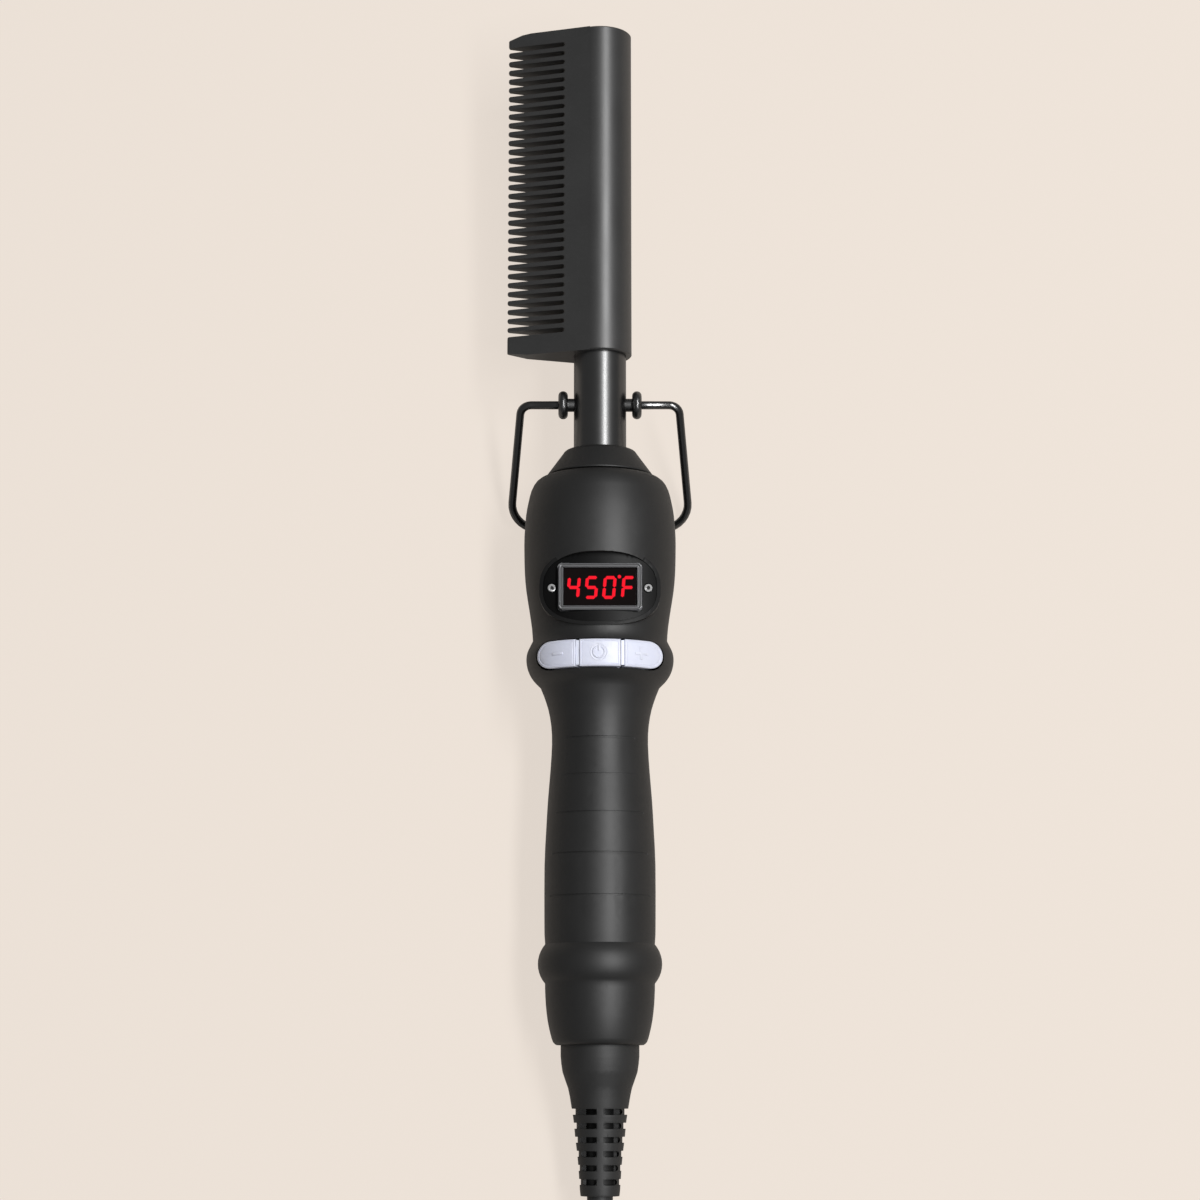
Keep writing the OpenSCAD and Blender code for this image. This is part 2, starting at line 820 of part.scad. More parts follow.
module strain_relief() {
    color([0.11, 0.11, 0.11])
        placed()
            difference() {
                turned(concat(
                    [[0, relief_end]],
                    [for (i = [len(relief_keys) * 2 - 2:-1:0]) smooth_line(relief_keys, 2)[i]],
                    [[9.2, 3.4], [10.5, 3.4], [10.5, 5.9], [hub_r, 5.9], [hub_r, hub_end],
                        [0, hub_end]]));
                rod(cord_r + play, relief_end - 1, bore_end);
                for (row = [0:slot_rows - 1])
                    slot_row(row);
            }
}

module slip_rings() {
    color([0.8, 0.62, 0.25])
        placed() {
            turned_ring(hub_r, 4.4, 6.6, 7.7);
            turned_ring(hub_r, 4.4, 8.4, 9.5);
        }
}

module brush_block() {
    color([0.2, 0.18, 0.16])
        placed()
            union() {
                turned_ring(4.4 + play, 10.7, 6.3, 10.4);
                turned_ring(0, 10.7, 10.3, 12);
            }
}

// ---------------------------------------------------------------- cord and plug

hank_centre = [-6, -255];
hank_low_z = 3.6;
layer_h = 6.5;
waist = 12;
straight = 6;
tie_t = 0.5;

// One loop has this many rings: first the right run, then the far fold, the left run and
// the near fold
run_rings = 4;
fold_rings = 8;
loop_rings = 2 * (run_rings + fold_rings);
// The loops spiral in, out, in and out again, and climb a layer on the run where they turn back
turn_backs = [26, 50, 74];
hank_end = 100;

function loops_in(k) =
    (k < turn_backs[0] ? k
    : k < turn_backs[1] ? 2 * turn_backs[0] - k
    : k < turn_backs[2] ? 2 * (turn_backs[0] - turn_backs[1]) + k
    : 2 * (turn_backs[0] - turn_backs[1] + turn_backs[2]) - k) / loop_rings;
function climb(u) = u < 0 ? 0 : u > 1 ? 1 : 0.5 - 0.5 * cos(180 * u);
function layer(k) = [1, 1, 1] * [for (t = turn_backs) climb((k - t + run_rings / 2) / run_rings)];
// The runs are drawn in at the waist, where the tie is
function drawn_in(y) = waist * (1 + cos(360 * y / run_len)) / 2;
function on_loop(m, r) =
    m < run_rings ? let (y = run_len * (0.5 - m / run_rings)) [r - drawn_in(y), y]
    : m < run_rings + fold_rings ? let (a = -180 * (m - run_rings) / fold_rings)
        [r * cos(a), r * sin(a) - run_len / 2]
    : m < 2 * run_rings + fold_rings ? let (y = run_len * ((m - run_rings - fold_rings) / run_rings - 0.5))
        [drawn_in(y) - r, y]
    : let (a = 180 - 180 * (m - 2 * run_rings - fold_rings) / fold_rings)
        [r * cos(a), r * sin(a) + run_len / 2];
function hank_point(k) =
    let (p = on_loop(k % loop_rings, fold_r - loop_pitch * loops_in(k)))
    [hank_centre[0] + p[0], hank_centre[1] + p[1], hank_low_z + layer_h * layer(k)];
hank_points = concat(
    [hank_point(0) + [0, straight, 0]],
    [for (k = [0:hank_end]) hank_point(k)],
    [hank_point(hank_end) - [0, straight, 0]]);

// Lead: out of the relief along the axis, then down to the table and round to the first run
lead_points = concat(
    [on_axis(-8), on_axis(-22), on_axis(relief_end), on_axis(relief_end - 6)],
    [[0.7, -153.2, 11.1], [2.6, -159.2, 10.2], [5.7, -164.6, 9], [9.9, -169.2, 7.6],
        [14, -173.8, 6], [17.1, -179.2, 4.8], [19, -185.2, 3.9], [19.7, -191.4, 3.6]],
    [hank_point(0) + [0, straight, 0]]);

// Tail: round the far fold while it rises onto the top layer, and back into the plug, which
// lies on the hank. These points are measured from the middle of the hank.
plug_place = [-8, -13, 33.4];
tail_places = [[25.7, -57, 23.1], [25.7, -60, 23.1], [24.9, -66.3, 23.6], [22.4, -72.3, 24.6],
    [18.5, -77.3, 25.9], [13.5, -81.2, 27.3], [7.5, -83.7, 28.6], [1.2, -84.5, 29.5],
    [-5.1, -83.7, 29.9], [-11, -81.2, 30], [-16.1, -77.3, 30], [-20, -72.3, 30],
    [-22.5, -66.3, 30], [-23.3, -60, 30.1], [-22.4, -53.3, 30.2], [-19.8, -47, 30.6],
    [-15.7, -41.6, 31.3], [-11.5, -36.2, 32.1], [-8.9, -29.9, 32.9], [-8, -23.6, 33.4],
    [-8, -20, 33.4], plug_place];
function from_hank(p) = [hank_centre[0] + p[0], hank_centre[1] + p[1], p[2]];
plug_start = from_hank(plug_place);
tail_points = [for (p = tail_places) from_hank(p)];

module cord_lead() {
    color([0.07, 0.07, 0.07])
        tube(lead_points, cord_r, 12);
}

module cord_hank() {
    color([0.07, 0.07, 0.07])
        tube(hank_points, cord_r, 6);
}

module cord_tail() {
    color([0.07, 0.07, 0.07])
        tube(tail_points, cord_r, 12);
}

// Least distance between loops that aren't neighbours along the cord, less the cord itself
far_along = loop_rings / 2;
hank_gap = min([for (i = [0:1:len(hank_points) - 1 - far_along])
    for (j = [i + far_along:1:len(hank_points) - 1])
        norm(hank_points[i] - hank_points[j])]) - cord_d;
function path_length(points) =
    [for (i = [1:len(points) - 1]) norm(points[i] - points[i - 1])] * [for (i = [1:len(points) - 1]) 1];
echo(hank_gap = hank_gap);
echo(cord_length = path_length(lead_points) + path_length(hank_points) + path_length(tail_points));

// Flat band round the waist of the hank
module cord_tie() {
    low_x = hank_centre[0] - 13.8;
    high_x = hank_centre[0] + 17.1;
    top_z = hank_low_z + 3 * layer_h + cord_r + 0.2;
    tie_w = 7;
    color([0.07, 0.07, 0.07])
        translate([0, hank_centre[1] + tie_w / 2, 0])
            rotate([90, 0, 0])
                linear_extrude(tie_w)
                    difference() {
                        translate([low_x - tie_t, 0])
                            square([high_x - low_x + 2 * tie_t, top_z + tie_t]);
                        translate([low_x, tie_t])
                            square([high_x - low_x, top_z - tie_t]);
                    }
}

plug_w = 23;
plug_t = 13;
plug_len = 25;
boot_len = 15;
boot_bore = 6;
blade_gap = 12.7;

// The plug is drawn along +Y, from the mouth of its boot
module plugged() {
    translate(plug_start - [0, boot_bore, 0])
        children();
}

// Plug body: a waisted grip with a flat face for the blades, and a ribbed boot
module plug_body() {
    grip_outline = [[-5, 0], [-7.6, 3], [-8.4, 8], [-7.8, 13], [-9.6, 17], [-plug_w / 2, 19.5],
        [-plug_w / 2, plug_len], [plug_w / 2, plug_len], [plug_w / 2, 19.5], [9.6, 17],
        [7.8, 13], [8.4, 8], [7.6, 3], [5, 0]];
    boot = [[cord_r + 0.05, 0], [4, 0], [4.2, 2], [3.7, 2.6], [3.7, 3.6], [4.6, 4.2], [4.6, 6],
        [4, 6.6], [4, 7.6], [5, 8.2], [5, 10], [4.3, 10.6], [4.3, 11.6], [5.4, 12.2],
        [5.4, boot_len + 1], [0, boot_len + 1], [0, boot_bore], [cord_r + 0.05, boot_bore]];
    color([0.07, 0.07, 0.07])
        plugged()
            union() {
                turned(boot);
                translate([0, boot_len, -plug_t / 2])
                    linear_extrude(plug_t)
                        polygon(grip_outline);
            }
}

module plug_blades() {
    blade_t = 1.5;
    blade_h = 6.3;
    blade_len = 16;
    color([0.8, 0.68, 0.4])
        plugged()
            for (side = [-1, 1])
                difference() {
                    translate([side * blade_gap / 2 - blade_t / 2, boot_len + plug_len, -blade_h / 2])
                        cube([blade_t, blade_len, blade_h]);
                    translate([side * blade_gap / 2, boot_len + plug_len + 12, 0])
                        rotate([0, 90, 0])
                            cylinder(r = 1.6, h = 4, center = true);
                }
}

comb_head();
heater_rod();
heater_insulator();
temperature_sensor();
thermal_fuse();
heater_leads();
neck_tube();
tube_flange();
heat_shield();
pivot_bosses();
stand_wire();
neck_collar();
handle_front();
handle_rear();
shell_screws();
display_bezel();
display_frame();
display_window();
display_module();
bezel_screws();
control_board();
tact_switches();
power_board();
filter_capacitor();
triac();
key_carrier();
button_minus();
button_power();
button_plus();
supply_leads();
brush_block();
slip_rings();
strain_relief();
cord_lead();
cord_hank();
cord_tie();
cord_tail();
plug_body();
plug_blades();
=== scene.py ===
# %% [markdown]
# # An electric hot comb with a temperature display
#
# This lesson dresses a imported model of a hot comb: a slotted comb on a heated tube, a turned
# handle with a display and three keys, a folding wire stand and a tied mains cord. The packed
# model gives the places and sizes, and nothing here moves it. Each step first says what the
# piece or finish is on the real object, and why it is made in this way.

# %% Load the frame
import json
import math

import bpy
from mathutils import Matrix, Vector
from mathutils.geometry import interpolate_bezier

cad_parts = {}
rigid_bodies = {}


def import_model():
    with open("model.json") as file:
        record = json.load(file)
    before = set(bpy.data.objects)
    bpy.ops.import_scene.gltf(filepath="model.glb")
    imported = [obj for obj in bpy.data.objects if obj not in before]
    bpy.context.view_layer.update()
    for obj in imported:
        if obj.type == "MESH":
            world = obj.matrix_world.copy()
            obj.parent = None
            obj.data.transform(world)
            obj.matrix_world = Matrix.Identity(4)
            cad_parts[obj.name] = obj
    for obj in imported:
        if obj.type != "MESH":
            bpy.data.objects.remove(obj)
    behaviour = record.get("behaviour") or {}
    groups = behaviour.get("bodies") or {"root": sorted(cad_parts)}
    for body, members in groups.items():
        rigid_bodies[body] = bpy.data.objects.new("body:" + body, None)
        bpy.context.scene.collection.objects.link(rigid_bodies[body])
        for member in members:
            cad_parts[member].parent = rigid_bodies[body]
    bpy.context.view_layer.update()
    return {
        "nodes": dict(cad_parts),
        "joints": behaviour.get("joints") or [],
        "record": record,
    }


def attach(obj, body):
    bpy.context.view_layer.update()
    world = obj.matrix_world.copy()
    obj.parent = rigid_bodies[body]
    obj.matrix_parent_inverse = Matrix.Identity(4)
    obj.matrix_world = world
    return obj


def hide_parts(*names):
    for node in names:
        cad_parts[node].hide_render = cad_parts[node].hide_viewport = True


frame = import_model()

# %% [markdown]
# ## The tool's own directions
#
# The tool lies on its back on a table, a few degrees nose up, so its axis is not a row axis.
# The joint of the strain relief gives a point on the axis and the axis itself, and the way a
# key is pressed gives the back. With these, every place below is written as the maker would
# measure it: across, along from the end of the handle, and out towards the display.

# %% Directions and places on the tool
MM = 0.001
joints = {joint["name"]: joint for joint in frame["joints"]}
handle_end = Vector(joints["cord_swivel"]["pos_m"])
along = Vector(joints["cord_swivel"]["axis"])
front = -Vector(joints["power_press"]["axis"])
right = Vector((1, 0, 0))
tool_turn = Matrix((right, along, front)).transposed().to_4x4()


def on_tool(x, y, z):
    """A place on the tool in millimetres, as a point of the frame in metres."""
    return handle_end + MM * (x * right + y * along + z * front)


def tool_mm(place):
    """The way back: a point of the frame as millimetres across, along and out."""
    return tuple((place - handle_end).dot(axis) / MM for axis in (right, along, front))


print("the axis rises", round(math.degrees(math.asin(along.z)), 2), "degrees")

# %% [markdown]
# ## Camera
#
# The photograph looks down on the display from a little below the middle of the tool, so the
# ring of keys shows as an arc that is high in the middle. The camera stands 660 mm in front of
# the axis, over a station just off the end of the handle, and looks at the display's side of
# the middle. A long lens with no shift keeps the other views simple.

# %% Camera
CAMERA_AWAY = 659.8
CAMERA_STATION = -8.5
AIM_STATION = 105.5
LENS_MM = 83.7

camera_data = bpy.data.cameras.new("camera")
camera_data.lens = LENS_MM
camera_data.sensor_width = 36
camera = bpy.data.objects.new("camera", camera_data)
bpy.context.scene.collection.objects.link(camera)
bpy.context.scene.camera = camera
camera_place = on_tool(0, CAMERA_STATION, CAMERA_AWAY)
look = (on_tool(0, AIM_STATION, 0) - camera_place).normalized()
camera_right = look.cross(along).normalized()
camera_up = camera_right.cross(look)
camera.matrix_world = Matrix.Translation(camera_place) @ Matrix(
    (camera_right, camera_up, -look)).transposed().to_4x4()
camera_data.clip_start = 0.05
camera_data.clip_end = 20
print("camera at", [round(v, 3) for v in camera_place])

# %% [markdown]
# ## Finishes as expressions
#
# A procedural finish is a web of small nodes. Written one by one they hide what they do, so a
# small class wraps a socket and lets Python's own signs add the nodes: `0.4 + 0.1 * grain`
# makes two of them. `Finish` holds the material and makes every other node in one way.


# %% A class for shader maths
class Value:
    """A number that a node gives. Arithmetic on it adds nodes."""

    def __init__(self, finish, socket):
        self.finish = finish
        self.socket = socket

    def math(self, operation, first, second):
        return self.finish.node("ShaderNodeMath", {"operation": operation}, {0: first, 1: second})

    def __add__(self, other):
        return self.math("ADD", self, other)

    def __radd__(self, other):
        return self.math("ADD", other, self)

    def __mul__(self, other):
        return self.math("MULTIPLY", self, other)

    def __rmul__(self, other):
        return self.math("MULTIPLY", other, self)

    def smooth(self, low, high):
        """0 below low and 1 above high, with a smooth rise between."""
        return self.finish.node(
            "ShaderNodeMapRange", {"interpolation_type": "SMOOTHSTEP"},
            {"Value": self, "From Min": low, "From Max": high})


class Finish:
    """A material and the nodes that it is built from."""

    def __init__(self, name, **constants):
        self.material = bpy.data.materials.new(name)
        self.material.use_nodes = True
        self.tree = self.material.node_tree
        self.shader = self.tree.nodes["Principled BSDF"]
        self.place = self.node("ShaderNodeTexCoord", output="Object")
        for words, value in constants.items():
            self.set("IOR" if words == "ior" else words.replace("_", " ").title(), value)

    def node(self, kind, settings=(), inputs=(), output=0):
        """One node: its settings come first, then what its sockets are fed."""
        made = self.tree.nodes.new(kind)
        for name, value in dict(settings).items():
            setattr(made, name, value)
        for name, value in dict(inputs).items():
            self.feed(made.inputs[name], value)
        return Value(self, made.outputs[output])

    def feed(self, socket, value):
        """Links a value to a socket, or sets the socket's own number or colour."""
        if isinstance(value, Value):
            self.tree.links.new(value.socket, socket)
        else:
            socket.default_value = value

    def set(self, name, value):
        """Feeds one socket of the shader itself."""
        self.feed(self.shader.inputs[name], value)

    def noise(self, size_mm, detail=2.0, roughness=0.5):
        """Noise from 0 to 1 whose blobs are about size_mm across."""
        return self.node(
            "ShaderNodeTexNoise", {}, {"Vector": self.place, "Scale": 1 / (size_mm * MM),
                                       "Detail": detail, "Roughness": roughness})

    def mix(self, factor, first, second):
        """A colour between two colours."""
        return self.node("ShaderNodeMix", {"data_type": "RGBA"},
                         {0: factor, 6: first, 7: second}, output=2)

    def bump(self, height, depth_mm):
        """Feeds a height from 0 to 1, which stands depth_mm high."""
        self.set("Normal", self.node(
            "ShaderNodeBump", {}, {"Height": height, "Distance": depth_mm * MM, "Strength": 1.0}))


def grey(level):
    """An opaque grey of one linear level."""
    return (level, level, level, 1)


print("finish helpers are ready")

# %% [markdown]
# ## Stage and light
#
# The photograph has a pale cream background and hardly a shadow. The floor is a plain cream
# that also glows to the camera, and less to rays that a shiny surface sends out: the shadow
# turns faint with no more light on the tool. One long strip of a lamp stands over the tool, a
# little to the right, because the photograph's highlight runs down the comb, tube and handle
# just right of their middle. The world fills the rest at a low level, so that the sides of the
# black pieces stay dark.

# %% Floor and world
FLOOR_SIZE = 6.0
FLOOR_COLOUR = (0.38, 0.345, 0.31, 1)
GLOW_COLOUR = (1.0, 0.9, 0.81, 1)
CAMERA_GLOW = 0.73
GLOSSY_GLOW = 0.15
WORLD_LIGHT = 0.18
WORLD_SEEN = (0.93, 0.9, 0.87, 1)

bpy.ops.object.select_all(action="DESELECT")
bpy.ops.mesh.primitive_plane_add(size=FLOOR_SIZE)
floor = bpy.context.object
floor.name = "floor"
cream = Finish("cream_floor", base_color=FLOOR_COLOUR, roughness=0.7)
cream.set("Specular IOR Level", 0.1)
ray = cream.tree.nodes.new("ShaderNodeLightPath")
share = (CAMERA_GLOW * Value(cream, ray.outputs["Is Camera Ray"])
         + GLOSSY_GLOW * Value(cream, ray.outputs["Is Glossy Ray"]))
glow = cream.node("ShaderNodeEmission", {}, {"Color": GLOW_COLOUR, "Strength": 1.0})
blended = cream.node("ShaderNodeMixShader", {}, {0: share})
cream.tree.links.new(cream.shader.outputs[0], blended.socket.node.inputs[1])
cream.tree.links.new(glow.socket, blended.socket.node.inputs[2])
cream.tree.links.new(blended.socket, cream.tree.nodes["Material Output"].inputs["Surface"])
floor.data.materials.append(cream.material)

world = bpy.data.worlds.new("studio")
bpy.context.scene.world = world
world.use_nodes = True
world_nodes = world.node_tree.nodes
world_links = world.node_tree.links
world_nodes.clear()
paths = world_nodes.new("ShaderNodeLightPath")
lit = world_nodes.new("ShaderNodeBackground")
lit.inputs["Color"].default_value = (1, 1, 1, 1)
lit.inputs["Strength"].default_value = WORLD_LIGHT
seen = world_nodes.new("ShaderNodeBackground")
seen.inputs["Color"].default_value = WORLD_SEEN
seen.inputs["Strength"].default_value = 1.0
choose = world_nodes.new("ShaderNodeMixShader")
out = world_nodes.new("ShaderNodeOutputWorld")
world_links.new(paths.outputs["Is Camera Ray"], choose.inputs["Fac"])
world_links.new(lit.outputs[0], choose.inputs[1])
world_links.new(seen.outputs[0], choose.inputs[2])
world_links.new(choose.outputs[0], out.inputs["Surface"])
print("floor and world are ready")

# %% Strip lamp
# its place and what it faces are in the tool's millimetres, its sizes in metres
LAMP_PLACE = (440, 190, 1090)
LAMP_TARGET = (0, 150, 0)
LAMP_WIDTH = 0.16
LAMP_LENGTH = 1.1
LAMP_WATTS = 17

lamp_data = bpy.data.lights.new("key_lamp", "AREA")
lamp_data.shape = "RECTANGLE"
lamp_data.size = LAMP_WIDTH
lamp_data.size_y = LAMP_LENGTH
lamp_data.energy = LAMP_WATTS
key_lamp = bpy.data.objects.new("key_lamp", lamp_data)
bpy.context.scene.collection.objects.link(key_lamp)
lamp_place = on_tool(*LAMP_PLACE)
lamp_away = (lamp_place - on_tool(*LAMP_TARGET)).normalized()
lamp_across = along.cross(lamp_away).normalized()
key_lamp.matrix_world = Matrix.Translation(lamp_place) @ Matrix(
    (lamp_across, lamp_away.cross(lamp_across), lamp_away)).transposed().to_4x4()
key_lamp.visible_camera = False
bpy.context.scene.view_settings.view_transform = "Standard"
print("lamp:", key_lamp.name, "at", [round(v, 2) for v in key_lamp.matrix_world.translation])

# %% [markdown]
# ## Cord
#
# A hair tool's flat mains cord would be awkward in a swivel, so these have a round flexible
# one of 6 mm. The photograph shows only its first millimetres, and about 1.7 m is usual. It
# leaves the strain relief on the axis, drops to the table, and is folded into a hank of four
# layers under a tie, as a slim tool is packed. The curve follows the points of the packed
# solids, so the two lie in the same place.

# %% The cord's line
CORD_D = 6 * MM
HANK_CENTRE = Vector((-6, -255, 0))
HANK_LOW_Z = 3.6
LAYER_H = 6.5
RUN_LEN = 102
FOLD_R = 25.7
LOOP_PITCH = 6.6
WAIST = 12
RUN_RINGS = 4
FOLD_RINGS = 8
LOOP_RINGS = 2 * (RUN_RINGS + FOLD_RINGS)
TURN_BACKS = (26, 50, 74)
HANK_END = 100
STRAIGHT = Vector((0, 6, 0))
# stations in the relief and just behind it, then places on the way down to the hank
LEAD_STATIONS = (-8, -22, -34.5, -40.5)
LEAD_DROP = (
    (0.7, -153.2, 11.1), (2.6, -159.2, 10.2), (5.7, -164.6, 9), (9.9, -169.2, 7.6),
    (14, -173.8, 6), (17.1, -179.2, 4.8), (19, -185.2, 3.9), (19.7, -191.4, 3.6))
# from the end of the hank round to the plug that lies on it, counted from the hank's centre
TAIL = (
    (25.7, -57, 23.1), (25.7, -60, 23.1), (24.9, -66.3, 23.6), (22.4, -72.3, 24.6),
    (18.5, -77.3, 25.9), (13.5, -81.2, 27.3), (7.5, -83.7, 28.6), (1.2, -84.5, 29.5),
    (-5.1, -83.7, 29.9), (-11, -81.2, 30), (-16.1, -77.3, 30), (-20, -72.3, 30),
    (-22.5, -66.3, 30), (-23.3, -60, 30.1), (-22.4, -53.3, 30.2), (-19.8, -47, 30.6),
    (-15.7, -41.6, 31.3), (-11.5, -36.2, 32.1), (-8.9, -29.9, 32.9), (-8, -23.6, 33.4),
    (-8, -20, 33.4), (-8, -13, 33.4))


def climb(share):
    """A smooth step from 0 to 1."""
    share = min(max(share, 0), 1)
    return 0.5 - 0.5 * math.cos(math.pi * share)


def loops_in(ring):
    """How many loops inside the outermost one this ring lies."""
    first, second, third = TURN_BACKS
    if ring < first:
        inward = ring
    elif ring < second:
        inward = 2 * first - ring
    elif ring < third:
        inward = 2 * (first - second) + ring
    else:
        inward = 2 * (first - second + third) - ring
    return inward / LOOP_RINGS


def hank_place(ring):
    """The cord's centre in the hank, in millimetres."""
    step = ring % LOOP_RINGS
    radius = FOLD_R - LOOP_PITCH * loops_in(ring)
    layer = sum(climb((ring - turn + RUN_RINGS / 2) / RUN_RINGS) for turn in TURN_BACKS)
    z = HANK_LOW_Z + LAYER_H * layer
    half = RUN_RINGS + FOLD_RINGS
    side = 1 if step < half else -1
    step %= half
    if step < RUN_RINGS:
        y = RUN_LEN * (0.5 - step / RUN_RINGS)
        x = radius - WAIST * (1 + math.cos(2 * math.pi * y / RUN_LEN)) / 2
    else:
        angle = -math.pi * (step - RUN_RINGS) / FOLD_RINGS
        x = radius * math.cos(angle)
        y = radius * math.sin(angle) - RUN_LEN / 2
    return HANK_CENTRE + Vector((side * x, side * y, z))


lead_places = [on_tool(0, y, 0) for y in LEAD_STATIONS]
lead_places += [Vector(place) * MM for place in LEAD_DROP]
hank_places = [(hank_place(0) + STRAIGHT) * MM]
hank_places += [hank_place(ring) * MM for ring in range(HANK_END + 1)]
tail_places = [(HANK_CENTRE + Vector(place)) * MM for place in TAIL]
cord_places = lead_places + hank_places + tail_places
cord_length = sum((b - a).length for a, b in zip(cord_places, cord_places[1:]))
print("cord length", round(cord_length, 3), "m in", len(cord_places), "points")

# %% The cord as a curve
PATH_STEPS = 5
cord_curve = bpy.data.curves.new("cord", "CURVE")
cord_curve.dimensions = "3D"
cord_curve.bevel_depth = CORD_D / 2
cord_curve.bevel_resolution = 4
cord_curve.resolution_u = 4
cord_curve.use_fill_caps = True
spline = cord_curve.splines.new("BEZIER")
spline.bezier_points.add(len(cord_places) - 1)
for point, place in zip(spline.bezier_points, cord_places):
    point.co = place
    point.handle_left_type = "AUTO"
    point.handle_right_type = "AUTO"
cord = bpy.data.objects.new("cord", cord_curve)
bpy.context.scene.collection.objects.link(cord)
bpy.ops.object.select_all(action="DESELECT")
cord.select_set(True)
bpy.context.view_layer.objects.active = cord
bpy.context.view_layer.update()
bends = spline.bezier_points
cord_path = [tuple(bends[0].co)]
for near, far in zip(bends, bends[1:]):
    cord_path += [tuple(place) for place in interpolate_bezier(
        near.co, near.handle_right, far.handle_left, far.co, PATH_STEPS)[1:]]
bpy.ops.object.convert(target="MESH")
cord = bpy.context.object
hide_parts("cord_lead", "cord_hank", "cord_tail")
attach(cord, "tool")
print("cord faces:", len(cord.data.polygons))

# %% [markdown]
# ## Finishes
#
# Every finish below is a colour that varies a little, a roughness that varies with it, and a
# bump for the grain that the hand feels. The three blacks differ mostly in roughness: the
# soft-touch handle scatters light over a wide band, the coat on the comb over a narrower one,
# and the enamel on the tube and wire mirrors the lamp.


# %% Blacks
def soft_touch():
    """Soft-touch lacquer over moulded plastic, with a fine sprayed grain."""
    made = Finish("soft_touch_black", ior=1.5)
    grain = made.noise(0.16, detail=3.0, roughness=0.6)
    cloud = made.noise(9.0, detail=3.0)
    made.set("Base Color", made.mix(cloud, grey(0.009), grey(0.014)))
    made.set("Roughness", 0.45 + 0.06 * cloud + 0.06 * grain)
    made.bump(grain, 0.012)
    return made.material


def comb_coat():
    """Non-stick coat on die-cast aluminium: darker grey, satin, with a fine fleck."""
    made = Finish("comb_coat", ior=1.7)
    fleck = made.noise(0.12, detail=2.0)
    cloud = made.noise(14.0, detail=3.0)
    base = made.mix(cloud, grey(0.014), grey(0.022))
    made.set("Base Color", made.mix(fleck.smooth(0.6, 0.75), base, grey(0.06)))
    made.set("Roughness", 0.33 + 0.1 * cloud + 0.06 * fleck)
    made.bump(fleck, 0.008)
    return made.material


def enamel(name, rough):
    """Gloss black enamel with the slight waviness of a dipped coat."""
    made = Finish(name, base_color=grey(0.004), ior=1.95)
    wave = made.noise(3.5, detail=1.0)
    made.set("Roughness", rough + 0.05 * wave)
    made.bump(wave, 0.006)
    return made.material


def elastomer(name, level):
    """Moulded black rubber: dull, with a slight bloom. A near-black one is the painted shade of
    the relief's slots.
    """
    made = Finish(name)
    grain = made.noise(0.3, detail=3.0)
    bloom = made.noise(6.0, detail=2.0)
    made.set("Base Color", made.mix(bloom, grey(level), grey(level * 1.6)))
    made.set("Roughness", 0.48 + 0.14 * bloom + 0.06 * grain)
    made.bump(grain, 0.015)
    return made.material


finishes = {
    "soft_black": soft_touch(), "comb_coat": comb_coat(),
    "gloss_black_metal": enamel("black_enamel", 0.3), "wire_black": enamel("wire_enamel", 0.2),
    "relief_black": elastomer("relief_rubber", 0.011),
    "cord_black": elastomer("cord_jacket", 0.014)}
print("blacks:", sorted(finishes))

# %% [markdown]
# ## Display, keys and metals
#
# The bezel is a darker black than the handle, with a satin skin. The keys are milky plastic
# with a cold tint: a little subsurface light makes them glow at the edges, as the lit keys of
# such a tool do. Metals take their tone from the world, so only their roughness and a fine
# grain need work.


# %% Plastics of the display and keys
def satin_black(name, level):
    """Black moulding with a fine satin texture, which hardly mirrors the lamp."""
    made = Finish(name)
    made.set("Specular IOR Level", 0.12)
    cloud = made.noise(5.0, detail=1.0)
    grain = made.noise(0.12, detail=2.0)
    made.set("Base Color", made.mix(cloud, grey(level), grey(1.6 * level)))
    made.set("Roughness", 0.4 + 0.06 * cloud)
    made.bump(grain, 0.006)
    return made.material


def tinted_window():
    """Polished plastic, so dark that only the lit reading shows."""
    made = Finish("tinted_window")
    made.set("Specular IOR Level", 0.2)
    cloud = made.noise(7.0)
    made.set("Base Color", made.mix(cloud, (0.002, 0.0015, 0.0015, 1), (0.005, 0.002, 0.002, 1)))
    made.set("Roughness", 0.12 + 0.05 * cloud)
    return made.material


def milky_plastic(name, colour, shade):
    """Translucent key plastic: two close tints and a satin skin."""
    made = Finish(name, subsurface_weight=0.25)
    made.shader.inputs["Subsurface Radius"].default_value = (0.9, 0.95, 1.0)
    made.shader.inputs["Subsurface Scale"].default_value = 0.8 * MM
    cloud = made.noise(2.5, detail=2.0)
    grain = made.noise(0.15, detail=2.0)
    made.set("Base Color", made.mix(cloud, colour + (1,), shade + (1,)))
    made.set("Roughness", 0.36 + 0.1 * cloud)
    made.bump(grain, 0.006)
    return made.material


finishes["bezel_black"] = satin_black("satin_bezel", 0.0025)
finishes["window_dark"] = tinted_window()
finishes["key_white"] = milky_plastic("key_plastic", (0.68, 0.7, 0.8), (0.63, 0.65, 0.77))
# the carrier's bars are painted a little paler than the keys: painted light that lifts the shade
# of the gaps they sit in
finishes["key_bar"] = milky_plastic("carrier_plastic_painted_light", (0.72, 0.75, 0.86), (0.66, 0.69, 0.82))
print("plastics:", len(finishes))


# %% Metals and inner pieces
def brushed(name, colour, rough, size_mm=0.2):
    """Metal with a fine grain and a little unevenness in its shine."""
    made = Finish(name, metallic=1.0)
    grain = made.noise(size_mm, detail=3.0)
    cloud = made.noise(4.0, detail=2.0)
    darker = tuple(0.82 * c for c in colour)
    made.set("Base Color", made.mix(cloud, darker + (1,), colour + (1,)))
    made.set("Roughness", rough + 0.1 * grain)
    made.bump(grain, 0.004)
    return made.material


